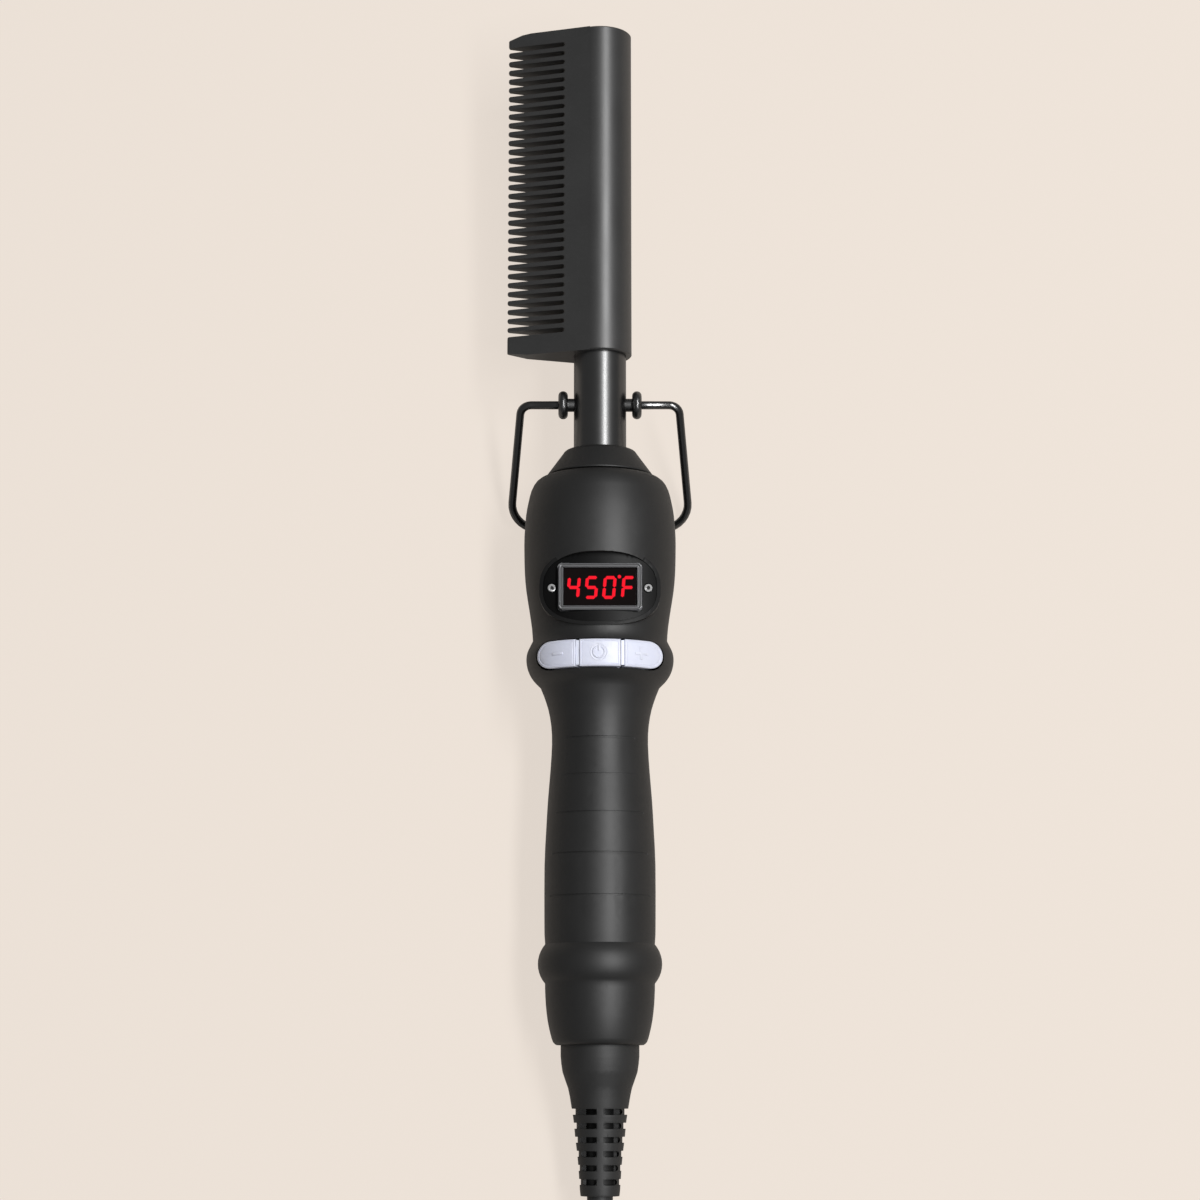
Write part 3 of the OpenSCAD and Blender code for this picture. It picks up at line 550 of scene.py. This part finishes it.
def speckled(name, first, second, size_mm, rough):
    """A dull solid of two close colours, for ceramic, boards and sleeves, and for the painted
    shade in the screw sockets.
    """
    made = Finish(name)
    speck = made.noise(size_mm, detail=3.0)
    made.set("Base Color", made.mix(speck, first + (1,), second + (1,)))
    made.set("Roughness", rough + 0.12 * speck)
    made.bump(speck, 0.02)
    return made.material


finishes["frame_silver"] = brushed("frame_metal", (0.16, 0.16, 0.165), 0.26)
finishes["screw_bright"] = brushed("screw_nickel", (0.3, 0.3, 0.3), 0.3, 0.1)
finishes["steel"] = brushed("plain_steel", (0.5, 0.5, 0.5), 0.3)
finishes["brass"] = brushed("turned_brass", (0.72, 0.55, 0.25), 0.22)
finishes["blade_brass"] = brushed("stamped_brass", (0.78, 0.64, 0.36), 0.2)
# slot: name of the finish, its two colours, the size of a speck in millimetres, roughness
DULL_SOLIDS = {
    "ceramic": ("sintered_ceramic", (0.86, 0.84, 0.78), (0.76, 0.73, 0.66), 0.5, 0.5),
    "lead_sleeve": ("glass_sleeve", (0.8, 0.77, 0.7), (0.66, 0.62, 0.54), 0.3, 0.7),
    "module_dark": ("moulded_dark", (0.03, 0.03, 0.03), (0.05, 0.05, 0.052), 0.8, 0.45),
    "board_green": ("solder_mask", (0.012, 0.1, 0.045), (0.02, 0.15, 0.07), 1.2, 0.3),
    "capacitor_yellow": ("capacitor_case", (0.72, 0.5, 0.06), (0.8, 0.6, 0.1), 1.0, 0.35)}
for slot, facts in DULL_SOLIDS.items():
    finishes[slot] = speckled(*facts)
print("finishes:", len(finishes))

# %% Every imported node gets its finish
slot_of = {part["node"]: part["material_slot"] for part in frame["record"]["subparts"]}
body_of = {node: body for body, nodes in frame["record"]["behaviour"]["bodies"].items()
           for node in nodes}
for name, packed in frame["nodes"].items():
    for holder in packed.material_slots:
        holder.material = finishes[slot_of[name]]
print("finished nodes:", len(frame["nodes"]))

# %% [markdown]
# ## Broken edges
#
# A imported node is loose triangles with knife-sharp edges. No moulded or cast edge is that
# sharp: the tool that shapes it leaves a small radius, and that radius is what catches the
# light. A copy of the node has its doubles merged and its flat faces joined, and a bevel of a
# tenth of a millimetre or two goes on every edge that turns sharply. Smooth shading below that
# angle then hides the facets of round walls, and weighted normals keep large flat faces flat
# right up to their rounded edges.


# %% Edge-broken copies
def use_only(piece):
    """Makes one piece the only selected one, and the active one."""
    if bpy.context.object and bpy.context.object.mode != "OBJECT":
        bpy.ops.object.mode_set(mode="OBJECT")
    bpy.ops.object.select_all(action="DESELECT")
    piece.select_set(True)
    bpy.context.view_layer.objects.active = piece


def merged_copy(node):
    """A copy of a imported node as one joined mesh."""
    packed = frame["nodes"][node]
    piece = bpy.data.objects.new(node + "_finished", packed.data.copy())
    bpy.context.scene.collection.objects.link(piece)
    piece.data.materials.clear()
    piece.data.materials.append(finishes[slot_of[node]])
    use_only(piece)
    bpy.ops.object.mode_set(mode="EDIT")
    bpy.ops.mesh.select_all(action="SELECT")
    bpy.ops.mesh.remove_doubles(threshold=0.002 * MM)
    bpy.ops.mesh.dissolve_limited(angle_limit=math.radians(0.6))
    bpy.ops.mesh.select_all(action="DESELECT")
    bpy.ops.object.mode_set(mode="OBJECT")
    return piece


def break_edges(piece, width_mm, angle=38, keep_flat=True):
    """A small radius on every edge that turns by more than the angle, and smooth shading."""
    use_only(piece)
    radius = piece.modifiers.new("edge", "BEVEL")
    radius.width = width_mm * MM
    radius.segments = 2
    radius.limit_method = "ANGLE"
    radius.angle_limit = math.radians(angle)
    bpy.ops.object.modifier_apply(modifier="edge")
    bpy.ops.object.shade_smooth_by_angle(angle=math.radians(angle))
    if not keep_flat:
        return
    flat = piece.modifiers.new("flat", "WEIGHTED_NORMAL")
    flat.keep_sharp = True
    flat.weight = 80
    bpy.ops.object.modifier_apply(modifier="flat")


def stand_for(piece, node):
    """Lets the piece stand for the node: the node is hidden and the piece rides on its body."""
    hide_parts(node)
    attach(piece, body_of[node])
    return piece


# the width of each piece's edge radius, in millimetres
EDGES = {
    "comb_head": 0.12, "neck_tube": 0.1, "pivot_bosses": 0.1, "stand_wire": 0.05,
    "neck_collar": 0.15, "handle_front": 0.12, "handle_rear": 0.12, "display_bezel": 0.18,
    "display_window": 0.05, "bezel_screws": 0.06, "key_carrier": 0.05, "shell_screws": 0.08,
    "strain_relief": 0.15, "cord_tie": 0.1, "plug_body": 0.7, "plug_blades": 0.2}
finished = {}
for node, width in EDGES.items():
    piece = merged_copy(node)
    break_edges(piece, width, keep_flat=node != "stand_wire")
    finished[node] = stand_for(piece, node)
print("edge-broken pieces:", len(finished))

# %% The cord's finish
cord.data.materials.append(finishes["cord_black"])

# %% [markdown]
# ## Strain relief and key bars
#
# The relief is moulded round the cord, so no light comes through between them: a thin liner
# fills the play of the imported pieces. Its slots are deep and narrow, and the liner and the
# inside of the slots are painted near-black, a painted shade darker than the rubber. The bars
# of the key carrier nearly fill the gaps between the keys, so their thin imported shape is
# widened about its own middle and raised a little.

# %% Liner and slots of the relief
LINER_INNER_R = 3.04
LINER_OUTER_R = 3.34
LINER_ENDS = (-33.6, -9)
SLOT_FIRST = -15.3
SLOT_PITCH = 3.2
SLOT_ROWS = 6
SLOT_H = 1.4
SLOT_PLAY = 0.03
# how far out the painted shade reaches in the first row, and how much less in each next one
PAINTED_SHADE_R = 5.55
PAINTED_SHADE_STEP = 0.25
to_tool = Matrix.Translation(handle_end) @ tool_turn @ Matrix.Scale(MM, 4)
low_end, high_end = LINER_ENDS
bpy.ops.object.select_all(action="DESELECT")
bpy.ops.mesh.primitive_cylinder_add(vertices=40, radius=LINER_OUTER_R, depth=high_end - low_end,
                                    end_fill_type="NOTHING")
liner = bpy.context.object
liner.name = "relief_liner"
liner_wall = liner.modifiers.new("wall", "SOLIDIFY")
liner_wall.thickness = LINER_OUTER_R - LINER_INNER_R
liner_wall.offset = -1
bpy.ops.object.modifier_apply(modifier="wall")
liner.data.transform(to_tool @ Matrix.Translation((0, (low_end + high_end) / 2, 0))
                     @ Matrix.Rotation(math.pi / 2, 4, "X"))
# painted shade: a near-black for the liner and the inside of the slots, darker than the rubber
slot_painted_shade = elastomer("slot_painted_shade", 0.003)
liner.data.materials.append(slot_painted_shade)
break_edges(liner, 0.05, angle=50, keep_flat=False)
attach(liner, body_of["strain_relief"])

relief = finished["strain_relief"]
relief.data.materials.append(slot_painted_shade)
# faces deep in each slot row take the painted shade
for polygon in relief.data.polygons:
    offset = polygon.center - handle_end
    y = offset.dot(along) / MM
    row = round((SLOT_FIRST - y) / SLOT_PITCH)
    away = (offset - offset.dot(along) * along).length / MM
    in_row = abs(SLOT_FIRST - SLOT_PITCH * row - y) < SLOT_H / 2 + SLOT_PLAY
    if 0 <= row < SLOT_ROWS and in_row and away < PAINTED_SHADE_R - PAINTED_SHADE_STEP * row:
        polygon.material_index = 1
print("dark slot faces:", sum(p.material_index for p in relief.data.polygons))

# %% Bars between the keys
SPLIT = 5.3
BAR_LOW_R = 14.3
BAR_WIDER = 1.9
BAR_RAISE = 0.3
BAR_REACH = 0.25
for vertex in finished["key_carrier"].data.vertices:
    x, y, z = tool_mm(vertex.co)
    if math.hypot(x, z) > BAR_LOW_R and abs(abs(x) - SPLIT) < BAR_REACH:
        x = math.copysign(SPLIT + BAR_WIDER * (abs(x) - SPLIT), x)
        vertex.co = on_tool(x, y, z + BAR_RAISE)
print("bars widened")

# %% [markdown]
# ## Display frame and screw sockets
#
# The frame round the window is a pressed metal ring with rounded corners and a shallow channel
# between two lips, which is what draws the double line on the frame. A flat plate has its
# corners rounded, then insets make the outer lip, the channel and the inner lip, the middle is
# taken out and Solidify gives the ring its depth. The screws keep their imported shape, and only
# the inside of their sockets is painted near-black, a painted shade as a hole this small holds.

# %% Display frame
FRAME_W = 19.4
FRAME_H = 11.0
FRAME_CORNER = 0.9
FRAME_DEPTH = 1.2
FRAME_STATION = 105.9
# from the outside in: the width of each inset, and how far it sinks or rises
FRAME_STEPS = ((0.22, 0), (0.08, -0.12), (0.42, 0), (0.08, 0.12), (0.14, 0))


def on_front(node):
    """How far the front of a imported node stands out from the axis, in millimetres."""
    return max(tool_mm(v.co)[2] for v in frame["nodes"][node].data.vertices)


def pick_faces(piece, wanted):
    """Selects the faces for which wanted(normal, centre) holds."""
    bpy.ops.object.mode_set(mode="EDIT")
    bpy.ops.mesh.select_mode(type="FACE")
    bpy.ops.mesh.select_all(action="DESELECT")
    bpy.ops.object.mode_set(mode="OBJECT")
    for polygon in piece.data.polygons:
        polygon.select = wanted(polygon.normal, polygon.center)
    bpy.ops.object.mode_set(mode="EDIT")
    bpy.ops.mesh.select_mode(type="FACE")


bpy.ops.object.select_all(action="DESELECT")
bpy.ops.mesh.primitive_plane_add(size=1)
ring = bpy.context.object
ring.name = "display_frame_shaped"
ring.data.transform(Matrix.Diagonal((FRAME_W, FRAME_H, 1, 1)))
bpy.ops.object.mode_set(mode="EDIT")
bpy.ops.mesh.select_all(action="SELECT")
bpy.ops.mesh.bevel(offset=FRAME_CORNER, segments=6, affect="VERTICES")
bpy.ops.mesh.select_all(action="SELECT")
for step_width, step_rise in FRAME_STEPS:
    bpy.ops.mesh.inset(thickness=step_width, depth=step_rise)
bpy.ops.mesh.delete(type="FACE")
bpy.ops.object.mode_set(mode="OBJECT")
wall = ring.modifiers.new("wall", "SOLIDIFY")
wall.thickness = FRAME_DEPTH
wall.offset = -1
bpy.ops.object.modifier_apply(modifier="wall")
ring.data.transform(to_tool @ Matrix.Translation((0, FRAME_STATION, on_front("display_frame"))))
ring.data.materials.append(finishes["frame_silver"])
break_edges(ring, 0.04)
stand_for(ring, "display_frame")
print("frame faces:", len(ring.data.polygons))

# %% Screw sockets
SOCKET_R = 0.43
SOCKET_LIP = 0.1
SCREW_HEAD_R = 0.95
# painted shade: the inside of each screw socket is painted near-black, as the shade in so small a
# hole
socket_painted_shade = speckled("socket_painted_shade", (0.004, 0.004, 0.004), (0.008, 0.008, 0.008), 0.4, 0.6)
screws = finished["bezel_screws"]
screws.data.materials.append(socket_painted_shade)
screw_front = on_front("bezel_screws")
screw_x = max(abs(v.co.x) for v in screws.data.vertices) / MM - SCREW_HEAD_R
for polygon in screws.data.polygons:
    x, y, z = tool_mm(polygon.center)
    in_socket = math.hypot(abs(x) - screw_x, y - FRAME_STATION) < SOCKET_R
    if in_socket and z < screw_front - SOCKET_LIP:
        polygon.material_index = 1
print("socket faces:", sum(p.material_index for p in screws.data.polygons))

# %% [markdown]
# ## Oval rim
#
# The bezel lies in a low oval rim that is moulded with the front shell and has a satin skin.
# The shell stays one piece, and only the faces of the rim's front get a finish of their own.
# They are found by their place: between two ovals, and as far out as the wide curve that the
# rim's front follows.

# %% The rim's faces
OVAL_W = 26.8
OVAL_H = 16.4
OVAL_POWER = 2.6
OVAL_OUTER_PLAY = 0.05
OVAL_INNER_PLAY = 0.1
RIM_W = 0.9
DOME_R = 34.25
DOME_TOP = 16.45
DOME_PLAY = 0.16
rim_black = satin_black("rim_black", 0.008)
shell = finished["handle_front"]
shell.data.materials.append(rim_black)


def in_oval(place, grow):
    """Whether a place in front of the display lies in the oval, grown by some millimetres."""
    x, y = tool_mm(place)[:2]
    return (abs(x / (OVAL_W / 2 + grow)) ** OVAL_POWER
            + abs((y - FRAME_STATION) / (OVAL_H / 2 + grow)) ** OVAL_POWER) < 1


def near_dome(place):
    """Whether a place is as far out as the rim's front, which follows a wide curve."""
    x, y, z = tool_mm(place)
    return abs(math.hypot(x, z - (DOME_TOP - DOME_R)) - DOME_R) < DOME_PLAY


on_rim = [in_oval(v.co, RIM_W + OVAL_OUTER_PLAY) and not in_oval(v.co, -OVAL_INNER_PLAY)
          and near_dome(v.co) for v in shell.data.vertices]
for polygon in shell.data.polygons:
    if polygon.normal.dot(front) > 0.3 and all(on_rim[v] for v in polygon.vertices):
        polygon.material_index = 1
print("rim faces:", sum(p.material_index for p in shell.data.polygons))

# %% [markdown]
# ## The lit reading
#
# The display is a numeric one: each character is made of up to seven bars that light up, each
# with pointed ends and a hair's gap to the next. One bar is made from a block whose end
# corners are bevelled off, and every lit bar is a copy of it, turned, leaned over a little and
# set on the window. The shape of a 4, 5, 0 and F is then only a list of the bars that are lit.

# %% One bar of a character
DIGIT_H = 5.45
DIGIT_W = 3.05
BAR_W = 0.74
BAR_GAP = 0.14
BAR_T = 0.06
BAR_POINT = 0.46
LEAN = math.tan(math.radians(5))


def new_block(name, size, place=(0, 0, 0)):
    """A block in millimetres, ready for shaping."""
    bpy.ops.object.select_all(action="DESELECT")
    bpy.ops.mesh.primitive_cube_add(size=1, location=place, scale=size)
    piece = bpy.context.object
    piece.name = name
    bpy.ops.object.transform_apply(location=True, rotation=True, scale=True)
    return piece


def pick_edges(piece, wanted):
    """Selects the edges for which wanted(first place, second place) holds."""
    bpy.ops.object.mode_set(mode="EDIT")
    bpy.ops.mesh.select_mode(type="EDGE")
    bpy.ops.mesh.select_all(action="DESELECT")
    bpy.ops.object.mode_set(mode="OBJECT")
    for edge in piece.data.edges:
        ends = [piece.data.vertices[v].co for v in edge.vertices]
        edge.select = wanted(*ends)
    bpy.ops.object.mode_set(mode="EDIT")


bar_length = DIGIT_W - BAR_GAP
one_bar = new_block("bar", (bar_length, BAR_W, BAR_T))
pick_edges(one_bar, lambda a, b: abs(a.z - b.z) > BAR_T / 2)
bpy.ops.mesh.bevel(offset=BAR_POINT * BAR_W, segments=1)
bpy.ops.object.mode_set(mode="OBJECT")
print("bar corners:", len(one_bar.data.vertices))

# %% The characters
# each bar: its middle in widths and half heights of the character, and whether it stands up
BARS = {"top": (0, 1, False), "middle": (0, 0, False), "bottom": (0, -1, False),
        "upper_left": (-1, 0.5, True), "upper_right": (1, 0.5, True),
        "lower_left": (-1, -0.5, True), "lower_right": (1, -0.5, True)}
CHARACTERS = (
    (-6.2, ("upper_left", "middle", "upper_right", "lower_right")),
    (-2.0, ("top", "upper_left", "middle", "lower_right", "bottom")),
    (2.2, ("top", "upper_left", "upper_right", "lower_left", "lower_right", "bottom")),
    (6.6, ("top", "upper_left", "middle", "lower_left")))
DISPLAY_STATION = 105.75
WINDOW_PLAY = 0.01
DEGREE_R = 0.42
DEGREE_X = 4.55
DEGREE_DROP = 0.15
half_w = (DIGIT_W - BAR_W) / 2
half_h = (DIGIT_H - BAR_W) / 2
lean = Matrix(((1, LEAN, 0, 0), (0, 1, 0, 0), (0, 0, 1, 0), (0, 0, 0, 1)))
stand_up = Matrix.Rotation(math.pi / 2, 4, "Z") @ Matrix.Scale(
    (half_h - BAR_GAP) / bar_length, 4, (1, 0, 0))
lie_down = Matrix.Scale((2 * half_w - BAR_GAP) / bar_length, 4, (1, 0, 0))
bar_z = on_front("display_window") + BAR_T / 2 + WINDOW_PLAY
bars = []
for centre, lit_bars in CHARACTERS:
    for name in lit_bars:
        x, y, upright = BARS[name]
        copy = one_bar.copy()
        copy.data = one_bar.data.copy()
        bpy.context.scene.collection.objects.link(copy)
        copy.data.transform(stand_up if upright else lie_down)
        copy.data.transform(Matrix.Translation((x * half_w, y * half_h, 0)))
        copy.data.transform(Matrix.Translation((centre, DISPLAY_STATION, bar_z)) @ lean)
        bars.append(copy)
bpy.ops.object.select_all(action="DESELECT")
bpy.ops.mesh.primitive_cylinder_add(vertices=12, radius=DEGREE_R, depth=BAR_T, location=(
    DEGREE_X, DISPLAY_STATION + DIGIT_H / 2 - DEGREE_DROP, bar_z))
degree = bpy.context.object
bpy.ops.object.transform_apply(location=True, rotation=True, scale=True)
bars.append(degree)
bpy.data.objects.remove(one_bar)
bpy.ops.object.select_all(action="DESELECT")
for bar in bars:
    bar.select_set(True)
bpy.context.view_layer.objects.active = bars[0]
bpy.ops.object.join()
reading = bpy.context.object
reading.name = "reading"
reading.data.transform(to_tool)
glow_red = Finish("lit_red", base_color=(0.02, 0.0, 0.0, 1), roughness=0.9)
glow_red.set("Specular IOR Level", 0.1)
pulse = glow_red.noise(0.6, detail=1.0)
glow_red.set("Emission Color", glow_red.mix(pulse, (0.95, 0.008, 0.022, 1), (1.0, 0.012, 0.03, 1)))
glow_red.set("Emission Strength", 1.0)
reading.data.materials.clear()
reading.data.materials.append(glow_red.material)
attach(reading, "tool")
print("reading:", len(reading.data.polygons), "faces")

# %% [markdown]
# ## Keys
#
# The three keys are cut from one crowned band of milky plastic. Each has a fine border line, and
# its sign stands up from the same plastic: a bar, a cross, and the power sign on a round
# disc. Everything is shaped flat, where it is easy to measure: the strip is a disc pulled out to
# a pill, cut at the splits, with the border as three insets. Many cuts across then let the flat
# piece be laid over the crown like a label on a bottle.

# %% Flat keys
KEYS_STATION = 90.2
STRIP_W = 29.6
STRIP_H = 6.4
SPLIT_GAP = 1.0
KEY_T = 3.0
SWITCH_X = 8.6
KEY_EDGE = 0.12
KEY_RISE = 0.1
# the border line: the width of each inset, and how far it sinks or rises
BORDER = ((0.34, 0.0), (0.1, -0.1), (0.1, 0.07))
CUT_ACROSS = 0.55
CUT_ALONG = 0.65
X_AXIS = Vector((1, 0, 0))
Y_AXIS = Vector((0, 1, 0))
# radius of the crown at distances from the middle of the strip
CROWN = ((0, 17.85), (0.6, 17.85), (2.6, 17.6), (3.4, 17.3))


def crown_radius(y):
    """The radius of the crowned band at a distance across the strip."""
    for (near, near_r), (far, far_r) in zip(CROWN, CROWN[1:]):
        if abs(y) <= far:
            return near_r + (far_r - near_r) * (abs(y) - near) / (far - near)
    return CROWN[-1][1]


def over_crown(piece):
    """Lays a flat piece, in millimetres, over the crown of the handle."""
    for vertex in piece.data.vertices:
        x, y, height = vertex.co
        radius = crown_radius(y)
        grown = 1 + height / radius
        rise = math.sqrt(max(radius * radius - x * x, 0))
        vertex.co = on_tool(x * grown, KEYS_STATION + y, rise * grown)


def cut_across(piece, axis, first, last, step):
    """Cuts the whole piece with planes, so that it can follow a curve."""
    bpy.ops.object.mode_set(mode="EDIT")
    place = first
    while place < last:
        bpy.ops.mesh.select_all(action="SELECT")
        bpy.ops.mesh.bisect(plane_co=axis * place, plane_no=axis)
        place += step
    bpy.ops.object.mode_set(mode="OBJECT")


def flat_key(node, left, right_end):
    """One key of the strip, flat, from one split to the next."""
    bpy.ops.object.select_all(action="DESELECT")
    bpy.ops.mesh.primitive_circle_add(vertices=40, radius=STRIP_H / 2, fill_type="NGON")
    piece = bpy.context.object
    piece.name = node + "_shaped"
    bpy.ops.object.mode_set(mode="EDIT")
    bpy.ops.mesh.select_all(action="SELECT")
    bpy.ops.transform.rotate(value=math.pi / 40, orient_axis="Z", center_override=(0, 0, 0))
    bpy.ops.object.mode_set(mode="OBJECT")
    for vertex in piece.data.vertices:
        vertex.co.x += math.copysign((STRIP_W - STRIP_H) / 2, vertex.co.x)
    bpy.ops.object.mode_set(mode="EDIT")
    for place, keep_right in ((left, True), (right_end, False)):
        bpy.ops.mesh.select_all(action="SELECT")
        bpy.ops.mesh.bisect(plane_co=(place, 0, 0), plane_no=(1, 0, 0),
                            clear_inner=keep_right, clear_outer=not keep_right)
    bpy.ops.mesh.select_all(action="SELECT")
    bpy.ops.mesh.extrude_region_move(TRANSFORM_OT_translate={"value": (0, 0, -KEY_T)})
    bpy.ops.mesh.select_all(action="SELECT")
    bpy.ops.mesh.normals_make_consistent(inside=False)
    pick_faces(piece, lambda normal, centre: normal.z > 0.9)
    bpy.ops.mesh.inset(thickness=KEY_EDGE, depth=0.0)
    bpy.ops.transform.translate(value=(0, 0, KEY_RISE))
    for border_width, border_rise in BORDER:
        bpy.ops.mesh.inset(thickness=border_width, depth=border_rise)
    cut_across(piece, X_AXIS, left + 0.35, right_end - 0.1, CUT_ACROSS)
    cut_across(piece, Y_AXIS, -2.6, 2.7, CUT_ALONG)
    return piece


# %% Keys over the crown
# each key has a round stem that reaches down to its switch
UNDERSIDE_R = 14.9
STEM_R = 1.2
STEM_IN = 0.6
STEM_FOOT_RING = 0.25
keys = {}
for node, left, right_end, stem_x in (
        ("button_minus", -STRIP_W / 2 - 1, -SPLIT - SPLIT_GAP / 2, -SWITCH_X),
        ("button_power", -SPLIT + SPLIT_GAP / 2, SPLIT - SPLIT_GAP / 2, 0),
        ("button_plus", SPLIT + SPLIT_GAP / 2, STRIP_W / 2 + 1, SWITCH_X)):
    key = flat_key(node, left, right_end)
    over_crown(key)
    stem_foot = min(tool_mm(v.co)[2] for v in frame["nodes"][node].data.vertices)
    stem_top = math.sqrt(UNDERSIDE_R ** 2 - stem_x ** 2) + STEM_IN
    bpy.ops.object.select_all(action="DESELECT")
    bpy.ops.mesh.primitive_cylinder_add(vertices=24, radius=STEM_R, depth=stem_top - stem_foot)
    stem = bpy.context.object
    pick_faces(stem, lambda normal, centre: normal.z < -0.9)
    bpy.ops.mesh.inset(thickness=STEM_FOOT_RING, depth=0)
    bpy.ops.object.mode_set(mode="OBJECT")
    stem.data.transform(to_tool @ Matrix.Translation(
        (stem_x, KEYS_STATION, (stem_top + stem_foot) / 2)))
    bpy.ops.object.select_all(action="DESELECT")
    stem.select_set(True)
    key.select_set(True)
    bpy.context.view_layer.objects.active = key
    bpy.ops.object.join()
    key.data.materials.clear()
    key.data.materials.append(finishes["key_white"])
    use_only(key)
    bpy.ops.object.shade_smooth_by_angle(angle=math.radians(32))
    keys[node] = stand_for(key, node)
print("keys:", {name: len(key.data.polygons) for name, key in keys.items()})

# %% Raised signs
SIGN_W = 0.66
SIGN_H = 0.4
MINUS_LENGTH = 2.4
PLUS_LENGTH = 2.9
MINUS_X = -9.9
PLUS_X = 9.6
SIGN_ROUND = 0.12
SIGN_REACH = 2
SIGN_CUT = 0.4
# the middle of a key stands this far over the crown
SIGN_LIFT = 0.07


def pull_arm(piece, direction, length):
    """Extrudes the outermost face on one side."""
    pick_faces(piece, lambda normal, centre: normal.dot(direction) > 0.9
               and (centre - centre.dot(direction) * direction).xy.length < 0.01)
    bpy.ops.mesh.extrude_region_move(TRANSFORM_OT_translate={"value": direction * length})
    bpy.ops.object.mode_set(mode="OBJECT")


def soften(piece, width):
    """Rounds every edge of a small sign."""
    use_only(piece)
    rounding = piece.modifiers.new("rounding", "BEVEL")
    rounding.width = width
    rounding.segments = 2
    rounding.limit_method = "ANGLE"
    rounding.angle_limit = math.radians(40)
    bpy.ops.object.modifier_apply(modifier="rounding")


def on_key(piece, across, node):
    """Lays a flat sign over the crown, on the front of a key."""
    piece.data.transform(Matrix.Translation((across, 0, SIGN_LIFT)))
    cut_across(piece, X_AXIS, across - SIGN_REACH, across + SIGN_REACH, SIGN_CUT)
    over_crown(piece)
    piece.data.materials.clear()
    piece.data.materials.append(finishes["key_white"])
    use_only(piece)
    bpy.ops.object.shade_smooth_by_angle(angle=math.radians(35))
    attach(piece, body_of[node])
    return piece


minus = new_block("minus_sign", (SIGN_W, SIGN_W, SIGN_H))
for side in (X_AXIS, -X_AXIS):
    pull_arm(minus, side, (MINUS_LENGTH - SIGN_W) / 2)
soften(minus, SIGN_ROUND)
plus = new_block("plus_sign", (SIGN_W, SIGN_W, SIGN_H))
for side in (X_AXIS, -X_AXIS, Y_AXIS, -Y_AXIS):
    pull_arm(plus, side, (PLUS_LENGTH - SIGN_W) / 2)
soften(plus, SIGN_ROUND)
on_key(minus, MINUS_X, "button_minus")
on_key(plus, PLUS_X, "button_plus")
print("signs:", minus.name, plus.name)

# %% The power sign
DISC_R = 2.05
RING_R = 1.32
RING_WIRE_R = 0.17
OPENING = math.radians(62)
DISC_T = 0.3
DISC_Z = -0.06
LINE_Z = 0.09
LINE_SIZE = (0.38, 1.35, 0.36)
LINE_Y = 0.92
POWER_X = -0.25

bpy.ops.object.select_all(action="DESELECT")
bpy.ops.mesh.primitive_cylinder_add(vertices=48, radius=DISC_R, depth=DISC_T,
                                    location=(0, 0, DISC_Z))
disc = bpy.context.object
disc.name = "power_disc"
bpy.ops.object.transform_apply(location=True, rotation=True, scale=True)
pick_faces(disc, lambda normal, centre: normal.z > 0.9)
bpy.ops.mesh.inset(thickness=0.14, depth=0)
bpy.ops.mesh.inset(thickness=0.08, depth=-0.07)
bpy.ops.object.mode_set(mode="OBJECT")
soften(disc, 0.04)

bpy.ops.object.select_all(action="DESELECT")
bpy.ops.mesh.primitive_torus_add(major_radius=RING_R, minor_radius=RING_WIRE_R,
                                 major_segments=60, minor_segments=10, location=(0, 0, LINE_Z))
open_ring = bpy.context.object
open_ring.name = "power_ring"
bpy.ops.object.transform_apply(location=True, rotation=True, scale=True)
pick_faces(open_ring, lambda normal, centre:
           abs(math.atan2(centre.x, centre.y)) < OPENING / 2)
bpy.ops.mesh.delete(type="FACE")
bpy.ops.mesh.select_mode(type="EDGE")
bpy.ops.mesh.select_non_manifold()
bpy.ops.mesh.fill_holes(sides=0)
bpy.ops.object.mode_set(mode="OBJECT")
line = new_block("power_stem", LINE_SIZE, (0, LINE_Y, LINE_Z))
soften(line, SIGN_ROUND)
for part in (disc, open_ring, line):
    on_key(part, POWER_X, "button_power")
print("power sign:", sum(len(p.data.polygons) for p in (disc, open_ring, line)), "faces")

# %% Boxes of moved meshes
# a mesh whose points were moved keeps its old box until it is updated
for piece in bpy.data.objects:
    if piece.type == "MESH":
        piece.data.update()
